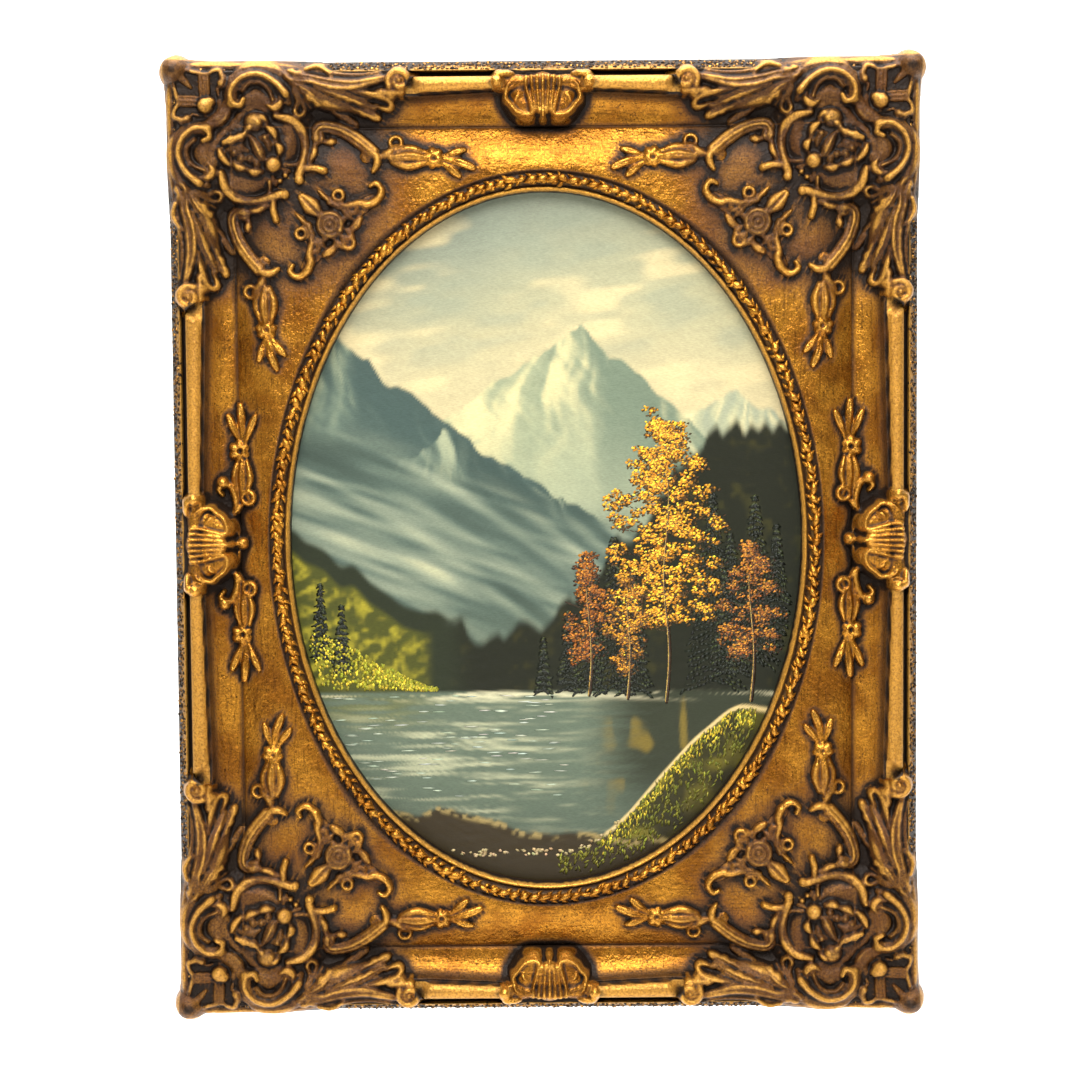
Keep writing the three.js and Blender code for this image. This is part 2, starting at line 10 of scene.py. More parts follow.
import bmesh
import bpy
import numpy as np
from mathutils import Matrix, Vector


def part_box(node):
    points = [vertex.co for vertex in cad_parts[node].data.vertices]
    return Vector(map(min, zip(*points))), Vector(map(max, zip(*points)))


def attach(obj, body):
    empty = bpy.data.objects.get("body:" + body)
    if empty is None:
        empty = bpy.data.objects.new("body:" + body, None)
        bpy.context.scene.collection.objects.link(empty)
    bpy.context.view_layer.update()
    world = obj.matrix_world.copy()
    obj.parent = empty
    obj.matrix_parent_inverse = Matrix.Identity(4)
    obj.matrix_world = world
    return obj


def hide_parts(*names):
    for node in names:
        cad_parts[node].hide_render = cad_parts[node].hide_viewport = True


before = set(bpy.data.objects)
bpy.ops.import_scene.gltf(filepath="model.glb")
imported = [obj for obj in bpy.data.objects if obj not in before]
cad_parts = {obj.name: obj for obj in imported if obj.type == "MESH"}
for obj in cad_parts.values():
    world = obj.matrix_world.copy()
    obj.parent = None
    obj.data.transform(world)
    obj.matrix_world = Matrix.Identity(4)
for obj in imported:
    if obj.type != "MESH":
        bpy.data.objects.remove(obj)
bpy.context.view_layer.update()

# %% [markdown]
# ## Sizes
# Everything is worked out lying down, in millimetres: x to the right, y up the picture and height out from
# the wall, with the middle of the oval at zero. One function then stands the points up in metres, so the
# numbers stay those that a frame maker would use.

# %% Sizes in millimetres
FRAME_WIDE, FRAME_TALL = 418.0, 535.0
HALF_WIDE, HALF_TALL = FRAME_WIDE / 2, FRAME_TALL / 2
SIGHT_A, SIGHT_B = 143.5, 194.5
EDGE_HEIGHT = 14.0
BAND_WIDE, BAND_HEIGHT = 6.5, 32.0
ROD_HEIGHT = 39.0
ROD_AT_CORNER, ROD_AT_CENTRE = 14.8, 13.2
ROD_HALF_AT_CORNER, ROD_HALF_AT_CENTRE = 4.6, 2.8
ROD_START, CARTOUCHE_COVER = 133.0, 22.0
COVE_TOP, COVE_FLOOR, COVE_END = 31.0, 19.0, 36.0
RAMP_START, RAMP_WIDE, RAMP_FOOT, PANEL_HEIGHT = 38.4, 23.0, 20.2, 27.0
LEAF_OUTER, LIP_WIDE = 11.4, 3.2
REBATE, LEDGE, LEDGE_HEIGHT = 5.6, 19.6, 10.5
SIGHT_DEPTH, BOARD_FACE, BOARD_BACK, BOARD_OVERLAP = 14.0, 13.7, 10.5, 5.0
# how high the castings may stand, where their flat underside lies, and the ground they see past the edge
ORNAMENT_TOP, ORNAMENT_UNDER, PAST_EDGE = 43.6, 15.5, 16.4
MM = 0.001

low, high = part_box("frame")
CENTRE_Z = (low[2] + high[2]) / 2
print("the middle of the picture is at z =", round(CENTRE_Z, 4))

# %% Stand points up, and make an object of them
def upright(points):
    """Lying millimetres (x, y, height) as upright metres."""
    points = np.asarray(points, float)
    return np.stack([points[:, 0] * MM, -points[:, 2] * MM, points[:, 1] * MM + CENTRE_Z], axis=1)


def make_piece(name, points, faces, smooth=True):
    """A mesh object whose faces point outwards. Its place is in its mesh."""
    points, faces = upright(points), np.asarray(faces)
    a, b, c = points[faces[:, 0]], points[faces[:, 1]], points[faces[:, 2]]
    volume = np.einsum("ij,ij->", np.cross(a, b), c)
    if faces.shape[1] == 4:
        volume += np.einsum("ij,ij->", np.cross(a, c), points[faces[:, 3]])
    if volume < 0:
        faces = faces[:, ::-1]
    mesh = bpy.data.meshes.new(name)
    mesh.from_pydata(points.tolist(), [], faces.tolist())
    mesh.polygons.foreach_set("use_smooth", [smooth] * len(mesh.polygons))
    mesh.update()
    piece = bpy.data.objects.new(name, mesh)
    bpy.context.scene.collection.objects.link(piece)
    return piece


def lying(piece):
    """A piece's points back in lying millimetres."""
    flat = np.empty(len(piece.data.vertices) * 3)
    piece.data.vertices.foreach_get("co", flat)
    x, y, z = flat.reshape(-1, 3).T
    return x / MM, (z - CENTRE_Z) / MM, -y / MM


def triangles(piece):
    """How many triangles a piece has."""
    return sum(len(face.vertices) - 2 for face in piece.data.polygons)

# %% Smooth random patches, for hand-made unevenness
def patches(x, y, size, seed):
    """Smooth random values from -1 to 1 that change over `size` millimetres."""
    table = np.random.default_rng(seed).uniform(-1, 1, (128, 128))
    gx, gy = np.asarray(x) / size + 64, np.asarray(y) / size + 64
    ix, iy = np.floor(gx).astype(int), np.floor(gy).astype(int)
    fx, fy = gx - ix, gy - iy
    fx, fy = fx * fx * (3 - 2 * fx), fy * fy * (3 - 2 * fy)
    at = lambda i, j: table[i % 128, j % 128]
    near = at(ix, iy) * (1 - fx) + at(ix + 1, iy) * fx
    far = at(ix, iy + 1) * (1 - fx) + at(ix + 1, iy + 1) * fx
    return near * (1 - fy) + far * fy


def mix(a, b, share):
    """From a to b as share goes from 0 to 1."""
    return a + (b - a) * share


def ease(low_end, high_end, value):
    """0 below low_end, 1 above high_end, and a smooth step between."""
    t = np.clip((np.asarray(value, float) - low_end) / (high_end - low_end), 0, 1)
    return t * t * (3 - 2 * t)

# %% [markdown]
# ## The section of a rail
# From the outside in, a rail of this frame has a steep pebbled edge, a narrow channel that is later painted black as
# its shadow, a raised rod that leans outwards as it runs to the middle of the rail, a hollow cove, a fine sunk line
# and a ramp that rises to the oval. A frame maker would plane and carve it to templates. Here it is a list of rows,
# each with its distance in from the edge and its height, so that every arris of the moulding gets its own row of
# points.

# %% The rows of a section
def rod_at(along, half):
    """Where the rod's middle is and how wide its half is, at a place along the rail."""
    share = np.clip((along - ROD_START) / (half - ROD_START), 0, 1)
    return mix(ROD_AT_CORNER, ROD_AT_CENTRE, share), mix(ROD_HALF_AT_CORNER, ROD_HALF_AT_CENTRE, share)


def has_rod(along, half):
    """Whether the rod shows: it runs from the corner casting to the middle one."""
    return (along > ROD_START) & (along < half - CARTOUCHE_COVER)


def section_rows(along, half):
    """Rows of (distance in, height) from the outer edge to the foot of the ramp, one value per column."""
    place, radius = rod_at(along, half)
    there = has_rod(along, half)
    gap, inner = place - radius - BAND_WIDE, place + radius
    rows = []

    def row(across, with_rod, plain=None):
        share = np.clip((across - BAND_WIDE) / (inner - BAND_WIDE), 0, 1)
        plain = mix(BAND_HEIGHT, COVE_TOP, share) if plain is None else plain
        rows.append((across + 0 * along, np.where(there, with_rod, plain) + 0.0 * along))

    for f in (0, 0.2, 0.4, 0.6, 0.8, 0.93, 1):
        h = mix(EDGE_HEIGHT, BAND_HEIGHT, f ** 0.85)
        row(BAND_WIDE * f, h, h)
    for f, h in ((0.12, 30.8), (0.3, 25.6), (0.7, 25.2), (0.95, 30)):
        row(BAND_WIDE + gap * f, h)
    for k in range(15):
        turn = math.pi * (1 - k / 14)
        row(place + radius * math.cos(turn), ROD_HEIGHT - radius + radius * math.sin(turn))
    for d, h in ((0.3, 30.6), (0.8, 30.3)):
        row(inner + d, h)
    for k in range(13):
        turn = math.pi / 2 * k / 12
        h = mix(COVE_TOP, COVE_FLOOR, math.sin(turn))
        row(mix(inner + 1.4, COVE_END, 1 - math.cos(turn)), h, h)
    for d, h in ((0.5, 18.2), (1.2, 18.1), (1.5, 19.6), (2.4, RAMP_FOOT)):
        row(COVE_END + d, h, h)
    return rows


print("a section has", len(section_rows(np.array([180.0]), HALF_WIDE)), "rows from edge to ramp")

# %% [markdown]
# ## Heights of the plain frame
# The ornament has to know the ground it lies on, so the same section is also needed as a height at any
# point. Near a corner the two rails meet on the diagonal, and under the corner ornament the ground swells
# into a low mound.

# %% Height of the ground anywhere
def oval_offset(x, y):
    """How far outside the sight edge a point is, measured as the oval is widened."""
    x, y = np.asarray(x, float), np.asarray(y, float)
    offset = np.maximum(np.hypot(x / SIGHT_A, y / SIGHT_B) - 1, -0.9) * (SIGHT_A + SIGHT_B) / 2
    for _ in range(5):
        a, b = np.maximum(SIGHT_A + offset, 5), np.maximum(SIGHT_B + offset, 5)
        value = (x / a) ** 2 + (y / b) ** 2 - 1
        slope = -2 * (x * x / a ** 3 + y * y / b ** 3)
        offset = offset - value / np.minimum(slope, -1e-6)
    return offset


def rail_height(across, along, half):
    """Height at a distance in from the edge, for places given one by one."""
    rows = section_rows(along, half)
    height = np.full(np.shape(across), EDGE_HEIGHT)
    for (s0, h0), (s1, h1) in zip(rows, rows[1:]):
        inside = (across >= s0) & (across < s1)
        share = np.clip((across - s0) / np.maximum(s1 - s0, 1e-6), 0, 1)
        height = np.where(inside, mix(h0, h1, share), height)
    past = across >= rows[-1][0]
    rise = np.sin(np.pi / 2 * np.clip((across - RAMP_START) / RAMP_WIDE, 0, 1))
    return np.where(past, mix(RAMP_FOOT, PANEL_HEIGHT, rise), height)


def oval_height(offset):
    """Leaf bed, dark gap and smooth lip round the opening."""
    return np.interp(offset, OVAL_AT, OVAL_UP)


OVAL_ROWS = [(11.4, 26.8), (10.8, 25.3), (9.4, 25.9), (7.4, 26.6), (5.4, 26.2), (4.2, 25.2), (3.7, 23.2),
             (3.2, 22.6), (2.9, 23.6), (2.3, 24.3), (1.6, 24.2), (1.0, 23.2), (0.5, 21.4), (0.2, 18.5), (0, 14)]
OVAL_AT, OVAL_UP = np.array(OVAL_ROWS[::-1]).T


def edge_distances(x, y):
    """How far in from the side rails' and from the end rails' outer edge."""
    return HALF_WIDE - np.abs(x), HALF_TALL - np.abs(y)


def ground_height(x, y):
    """Height of the plain frame, and of the board in its opening."""
    from_side, from_end = edge_distances(x, y)
    on_side = from_side < from_end
    across = np.where(on_side, from_side, from_end)
    along = np.where(on_side, from_end, from_side)
    rail = np.where(on_side, rail_height(across, along, HALF_TALL), rail_height(across, along, HALF_WIDE))
    offset = oval_offset(x, y)
    height = np.where(offset < LEAF_OUTER, oval_height(offset), rail)
    return np.where(offset < 0, BOARD_FACE, height)


ramp_middle = ground_height(np.array([0.0]), np.array([215.0]))
print("the middle of the top ramp is", ramp_middle, "mm high")

# %% [markdown]
# ## The mouldings
# The real frame is mitred from four lengths of moulding, with an oval cut in a panel between them. All of
# it goes round the picture, so it is made as one ring: columns of points go round, and the rows of the
# section go across, from the back, over the edge, the rod, the cove and the ramp to the lip, and back
# through the rebate. A ring like this closes on itself, and the corners get a true mitre because every
# row is a smaller rectangle than the last.

# %% The ring of mouldings
COLUMN_SPACING = 2.7


def ring_columns():
    """Places round the frame, as parts of its half width and half height, with how far along each rail."""
    columns = []
    for side in range(4):
        half = HALF_WIDE if side % 2 == 0 else HALF_TALL
        count = int(round(2 * half / COLUMN_SPACING))
        for i in range(count):
            a = -1 + 2 * i / count
            spot = [(a, 1), (1, -a), (-a, -1), (-1, a)][side]
            columns.append((*spot, half * (1 - abs(a)), half))
    return np.array(columns).T


col_a, col_b, col_along, col_half = ring_columns()
col_turn = np.arctan2(col_b, col_a)


def on_rectangle(across, height):
    """A row of points at a distance in from the outer edge."""
    return np.stack([(HALF_WIDE - across) * col_a, (HALF_TALL - across) * col_b, height + 0 * col_a], axis=1)


def on_oval(offset, height):
    """A row of points at a distance outside the sight edge."""
    return np.stack([(SIGHT_A + offset) * np.cos(col_turn), (SIGHT_B + offset) * np.sin(col_turn),
                     height + 0 * col_a], axis=1)


RAMP_STEPS = 22


def moulding_rows():
    """All rows of the ring, from the back over the front to the rebate."""
    rows = [on_rectangle(0, 0), on_rectangle(0, 7)]
    rows += [on_rectangle(s, h) for s, h in section_rows(col_along, col_half)]
    start, end = rows[-1], on_oval(OVAL_ROWS[0][0], PANEL_HEIGHT)
    for i in range(1, RAMP_STEPS):
        spot = mix(start, end, i / RAMP_STEPS)
        height = ground_height(spot[:, 0], spot[:, 1])
        last = ease(0.85, 1, i / RAMP_STEPS)
        spot[:, 2] = mix(height, OVAL_ROWS[0][1], last)
        rows.append(spot)
    rows += [on_oval(offset, height) for offset, height in OVAL_ROWS]
    for offset, height in ((REBATE, SIGHT_DEPTH), (REBATE, LEDGE_HEIGHT), (LEDGE, LEDGE_HEIGHT), (LEDGE, 0)):
        rows.append(on_oval(offset, height))
    back = rows[-1]
    rows += [mix(back, rows[0], share) for share in (0.33, 0.67)]
    return np.array(rows)


def ring_faces(rows, columns):
    """Quads of a surface that closes both ways."""
    r, c = np.meshgrid(np.arange(rows), np.arange(columns), indexing="ij")
    r2, c2 = (r + 1) % rows, (c + 1) % columns
    quads = np.stack([r * columns + c, r2 * columns + c, r2 * columns + c2, r * columns + c2], axis=-1)
    return quads.reshape(-1, 4)


rows = moulding_rows()
front = rows[..., 2] > EDGE_HEIGHT + 0.5
wobble = 0.16 * patches(rows[..., 0], rows[..., 1], 19, 3) + 0.07 * patches(rows[..., 0], rows[..., 1], 5, 4)
rows[..., 2] += np.where(front, wobble, 0)
mouldings = make_piece("gilded_mouldings", rows.reshape(-1, 3), ring_faces(*rows.shape[:2]))
print("mouldings:", triangles(mouldings), "triangles")

# %% [markdown]
# ## Carved relief
# Compo ornament is pressed in a carved mould, so all of it can be seen from the front: it is relief, and
# relief can be kept as a grid of heights. A stroke of ornament is a smooth path with a section across it.
# It is pressed into the grid wherever it stands higher than what is there, as one leaf lies over another.
# This gives folds, volutes and petals that flow into each other like one casting, which separate tubes
# and balls wouldn't do.

# %% A patch of relief
STEP = 0.5
SWELLS = {
    "even": lambda t: 1 + 0 * t,
    "swell": lambda t: 0.58 + 0.42 * np.sin(np.pi * t),
    "drop": lambda t: 0.45 + 0.55 * np.sin(np.pi * 0.85 * t ** 1.3),
    "point": lambda t: 1 - 0.6 * t ** 1.5,
    "club": lambda t: 0.62 + 0.38 * t,
}


def smooth_path(points, spacing=1.1):
    """A curve through the points, as points at even steps."""
    p = np.asarray(points, float)
    ends = np.concatenate([[2 * p[0] - p[1]], p, [2 * p[-1] - p[-2]]])
    t = np.linspace(0, 1, 12, endpoint=False)[:, None]
    spans = []
    for a, b, c, d in zip(ends, ends[1:], ends[2:], ends[3:]):
        spans.append(0.5 * (2 * b + (c - a) * t + (2 * a - 5 * b + 4 * c - d) * t ** 2
                            + (3 * b - a - 3 * c + d) * t ** 3))
    fine = np.concatenate(spans + [p[-1:]])
    run = np.concatenate([[0], np.cumsum(np.hypot(*np.diff(fine, axis=0).T))])
    even = np.linspace(0, run[-1], max(3, int(run[-1] / spacing) + 1))
    return np.stack([np.interp(even, run, fine[:, 0]), np.interp(even, run, fine[:, 1])], axis=1)


def soften(grid, radius):
    """Blur a grid by a radius in millimetres."""
    reach = max(1, int(math.ceil(2.5 * radius / STEP)))
    weights = np.exp(-0.5 * (np.arange(-reach, reach + 1) * STEP / radius) ** 2)
    weights /= weights.sum()
    for axis in (0, 1):
        padded = np.pad(grid, [(reach, reach) if a == axis else (0, 0) for a in (0, 1)], mode="edge")
        take = lambda k: np.take(padded, np.arange(k, k + grid.shape[axis]), axis=axis)
        grid = sum(w * take(k) for k, w in enumerate(weights))
    return grid


def look_up(grid, i, j):
    """Values of a grid between its points, for rows j and columns i."""
    i, j = np.clip(i, 0, grid.shape[1] - 1.001), np.clip(j, 0, grid.shape[0] - 1.001)
    i0, j0 = np.floor(i).astype(int), np.floor(j).astype(int)
    fi, fj = i - i0, j - j0
    upper = grid[j0, i0] * (1 - fi) + grid[j0, i0 + 1] * fi
    lower = grid[j0 + 1, i0] * (1 - fi) + grid[j0 + 1, i0 + 1] * fi
    return upper * (1 - fj) + lower * fj


def spread(grid, reach, pick):
    """The largest or smallest value within reach cells, along both axes."""
    for axis in (0, 1):
        padded = np.pad(grid, [(reach, reach) if a == axis else (0, 0) for a in (0, 1)], mode="edge")
        take = lambda k: np.take(padded, np.arange(k, k + grid.shape[axis]), axis=axis)
        grid = pick.reduce([take(k) for k in range(2 * reach + 1)])
    return grid


# strokes are pressed this much wider than measured, and their sides fall this steeply
FULLER, SIDE_SLOPE = 0.4, 2.6
LOWEST_SEAT = 20


class Carving:
    """A patch of relief. u runs along the rail and v in from its outer edge."""

    def __init__(self, u_range, v_range, ground):
        self.u = np.arange(u_range[0], u_range[1] + STEP / 2, STEP)
        self.v = np.arange(v_range[0], v_range[1] + STEP / 2, STEP)
        self.U, self.V = np.meshgrid(self.u, self.v)
        self.ground = ground(self.U, self.V)
        self.seat = soften(np.maximum(self.ground, LOWEST_SEAT), 2.0)
        self.height = self.ground - 3

    def seat_at(self, points):
        """Height of the ground that an ornament is bedded on."""
        return look_up(self.seat, (points[:, 0] - self.u[0]) / STEP, (points[:, 1] - self.v[0]) / STEP)

    def window(self, points, reach):
        """The part of the grid round some points."""
        (u0, v0), (u1, v1) = points.min(0) - reach, points.max(0) + reach
        i = slice(*np.searchsorted(self.u, (u0, u1)))
        j = slice(*np.searchsorted(self.v, (v0, v1)))
        return j, i

    def press(self, window, height):
        self.height[window] = np.maximum(self.height[window], height)

    def stroke(self, points, half, lift, swell="swell", grooves=0, wave=0, seat=None, sharp=2.3, depth=0.3):
        """Press a stroke along a path. grooves run along it and wave scallops its edges."""
        half = half + FULLER
        path = smooth_path(points)
        t = np.linspace(0, 1, len(path))
        size = SWELLS[swell](t)
        wide = half * size * (1 + wave * np.sin(2 * np.pi * t * len(path) / 5.5))
        base = self.seat_at(path) if seat is None else seat + 0 * t
        window = self.window(path, half + 1.5)
        u, v = self.U[window], self.V[window]
        near, where, side = np.full(u.shape, 1e9), np.zeros(u.shape), np.zeros(u.shape)
        for k, ((au, av), (bu, bv)) in enumerate(zip(path, path[1:])):
            du, dv = bu - au, bv - av
            along = np.clip(((u - au) * du + (v - av) * dv) / (du * du + dv * dv), 0, 1)
            far = np.hypot(u - au - along * du, v - av - along * dv)
            better = far < near
            near = np.where(better, far, near)
            where = np.where(better, k + along, where)
            side = np.where(better, np.sign(du * (v - av) - dv * (u - au)), side)
        steps = np.arange(len(path))
        w = np.interp(where, steps, wide)
        up = np.interp(where, steps, lift * np.sqrt(size))
        x = near / w
        section = np.clip(1 - np.minimum(x, 1) ** sharp, 0, 1) ** 0.62
        for g in range(grooves):
            centre = -1 + 2 * (g + 1) / (grooves + 1)
            section = section * (1 - depth * np.exp(-((side * x - centre) / (0.32 / (grooves + 1))) ** 2))
        height = np.interp(where, steps, base) + up * section - SIDE_SLOPE * np.maximum(near - w, 0)
        self.press(window, height)

    def boss(self, centre, radius, lift, petals=0, cut=0.25, hollow=0, seat=None, turn=0.0):
        """Press a round boss, or a flower of petals round a hollow or a bead."""
        centre = np.array([centre], float)
        window = self.window(centre, radius + 1.5)
        du, dv = self.U[window] - centre[0, 0], self.V[window] - centre[0, 1]
        far, angle = np.hypot(du, dv), np.arctan2(dv, du) + turn
        lobe = np.abs(np.cos(angle * petals / 2)) if petals else 1.0
        edge = radius * (1 - cut + cut * lobe ** 0.6) if petals else radius + 0 * far
        x = far / edge
        section = np.clip(1 - np.minimum(x, 1) ** 2.4, 0, 1) ** 0.6
        if petals:
            section = section * (0.72 + 0.28 * lobe ** 0.5)
        section = section - hollow * np.exp(-(x / 0.36) ** 2)
        base = self.seat_at(centre)[0] if seat is None else seat
        self.press(window, base + lift * section - SIDE_SLOPE * np.maximum(far - edge, 0))

    def cast(self, gap=1.3, sunk=1.1, soft=0.4):
        """Fill gaps narrower than twice gap and round the rest, as moulded composition does."""
        reach = int(gap / STEP)
        filled = spread(spread(self.height, reach, np.maximum), reach, np.minimum) - sunk
        self.height = soften(np.maximum(self.height, filled), soft)

    def roughen(self, amount, seed):
        """Give what is raised the uneven surface of a casting, and keep it under the highest it may be."""
        raised = self.height > self.ground
        rough = amount * patches(self.U, self.V, 2.3, seed) + amount * patches(self.U, self.V, 5.2, seed + 1)
        self.height = np.minimum(soften(self.height, 0.3) + np.where(raised, rough, 0), ORNAMENT_TOP)

    def ring(self, centre, radius, half, lift, start=0, end=360, turns=0.0, **more):
        """Press a round or spiral wire. turns draws it in towards its middle as it goes round."""
        a = np.radians(np.linspace(start, end, max(6, int(abs(end - start) / 20))))
        r = radius * (1 - turns * np.linspace(0, 1, len(a)))
        points = np.stack([centre[0] + r * np.cos(a), centre[1] + r * np.sin(a)], axis=1)
        self.stroke(points, half, lift, **{"swell": "even", **more})

# %% [markdown]
# ## Closing a patch of relief into a solid
# Only the cells where ornament stands above the ground are kept, and their edges sink into the moulding,
# so the seam between them is a clean crease as on a casting that has been glued down. A flat underside and
# walls close it. The Decimate modifier then spends the triangles where the relief bends.

# %% Relief to mesh
SINK = 0.7


def relief_solid(name, carving, place, triangle_limit):
    """A closed mesh of a carving. place turns (u, v, height) into lying millimetres."""
    up = carving.height > carving.ground - SINK
    keep = up[:-1, :-1] & up[1:, :-1] & up[:-1, 1:] & up[1:, 1:]
    for _ in range(6):
        a, b, c, d = keep[:-1, :-1], keep[:-1, 1:], keep[1:, :-1], keep[1:, 1:]
        keep[:-1, 1:] |= a & d & ~b & ~c
        keep[:-1, :-1] |= keep[:-1, 1:] & keep[1:, :-1] & ~keep[:-1, :-1] & ~keep[1:, 1:]
    rows, columns = carving.height.shape
    number = np.arange(rows * columns).reshape(rows, columns)
    j, i = np.nonzero(keep)
    top = np.stack([number[j, i], number[j, i + 1], number[j + 1, i + 1], number[j + 1, i]], axis=1)
    lower = top[:, ::-1] + rows * columns
    walls = []
    padded = np.pad(keep, 1)
    for dj, di, a, b in ((-1, 0, 0, 1), (0, 1, 1, 2), (1, 0, 2, 3), (0, -1, 3, 0)):
        open_side = ~padded[j + 1 + dj, i + 1 + di]
        p, q = top[open_side, a], top[open_side, b]
        walls.append(np.stack([q, p, p + rows * columns, q + rows * columns], axis=1))
    faces = np.concatenate([top, lower, *walls])
    u, v = carving.U.ravel(), carving.V.ravel()
    under = np.full(u.shape, ORNAMENT_UNDER)
    points = np.concatenate([place(u, v, carving.height.ravel()), place(u, v, under)])
    used, faces = np.unique(faces, return_inverse=True)
    piece = make_piece(name, points[used], faces.reshape(-1, 4))
    thin = piece.modifiers.new("thin", "DECIMATE")
    thin.ratio = min(1.0, triangle_limit / triangles(piece))
    return settled(piece)


def settled(piece):
    """The same object with its modifiers worked into its mesh."""
    seen = piece.evaluated_get(bpy.context.evaluated_depsgraph_get())
    mesh = bpy.data.meshes.new_from_object(seen)
    old = piece.data
    piece.modifiers.clear()
    piece.data = mesh
    mesh.name = piece.name
    bpy.data.meshes.remove(old)
    mesh.polygons.foreach_set("use_smooth", [True] * len(mesh.polygons))
    return piece

# %% [markdown]
# ## The corner ornament
# Each corner carries one casting: a round knob on the very corner, a fluted little shell, a pair of
# C-scrolls with long leaves that run out along the rails, a boss in a ring of ribs, a spray of leaf, husk
# and flower on each ramp, and a rose on the diagonal. Its two arms are alike, so only the one along a rail
# is drawn, and the grid is folded over its diagonal. The boss, which differs, is pressed after the fold.
# Places were measured along and across the rail. The camera sees high relief pushed outwards a little, and
# `seen` takes that out again.

# %% Ground under a corner
PAD_CENTRE, PAD_RADIUS, PAD_HEIGHT, PAD_SLOPE = 40.0, 30.0, 30.0, 0.8
CORNER_REACH = 180.0
OVERHANG = 5.5


def corner_ground(u, v):
    """The plain frame near a corner, with the low mound under the ornament."""
    plain = ground_height(u - HALF_WIDE, HALF_TALL - v)
    plain = np.where(v > u, ground_height(v - HALF_WIDE, HALF_TALL - u), plain)
    return np.where(np.minimum(u, v) < 0, PAST_EDGE, plain)


def seen(points):
    """Measured places put back where they are on the frame."""
    return [(0.975 * u + 1.9, 0.975 * v + 1.9) for u, v in points]


def press_strokes(carving, table, **shared):
    """Press measured strokes. A row has points, half width, lift and, if it isn't the usual, its manner."""
    for points, half, lift, *manner in table:
        carving.stroke(seen(points), half, lift, **{**shared, **dict(*manner)})


corner = Carving((-OVERHANG, CORNER_REACH), (-OVERHANG, CORNER_REACH), corner_ground)
from_pad = np.hypot(corner.U - PAD_CENTRE, corner.V - PAD_CENTRE)
mound = PAD_HEIGHT - PAD_SLOPE * np.maximum(from_pad - PAD_RADIUS, 0)
on_frame = np.minimum(corner.U, corner.V) > BAND_WIDE - 1
corner.height = np.maximum(corner.height, np.where(on_frame, mound, 0))
corner.seat = soften(np.maximum(corner.ground, np.where(on_frame, mound, LOWEST_SEAT)), 2.0)
print("a corner is drawn on", corner.height.shape, "points")

# %% Knob, little shell and the scrolls
RIM = [
    # the smooth rim over the pebbled edge beside the knob, and the wide bands behind the C-scroll
    ([(37, 22), (37, 15), (41, 9.6), (47, 7), (54, 7.4), (61, 11), (66, 16)],
     3.6, 6.4, dict(swell="even", seat=30.5, sharp=3)),
    ([(24, 33), (29, 30), (33, 25), (34, 20)], 3.2, 3.6, dict(sharp=3)),
    ([(45.6, 22.4), (50.3, 20.6), (55, 22.4)], 6.4, 3.2, dict(swell="even", sharp=3)),
    ([(2, 3.4), (10, 2.6), (20, 2.2), (30, 2.4), (40, 2.6), (52, 2.2), (64, 3), (74, 4.4), (82, 4.6)],
     3.0, 5, dict(swell="even", seat=25, sharp=3.5)),
    ([(12, 4), (17.7, 5.4), (23, 6), (26.2, 4.3), (30, 4), (32.6, 7.6)],
     1.2, 3.6, dict(swell="even", seat=30.5)),
    ([(30.5, 6), (32, 8.4), (31, 11.4)], 2.4, 4.8, dict(swell="club", seat=31)),
    ([(36, 18), (37.6, 11), (43.4, 5.6), (51.6, 3.8), (60, 5.2), (68, 9.4), (74, 13.4)],
     4.2, 5.2, dict(swell="even", seat=29.5, sharp=3.2)),
]
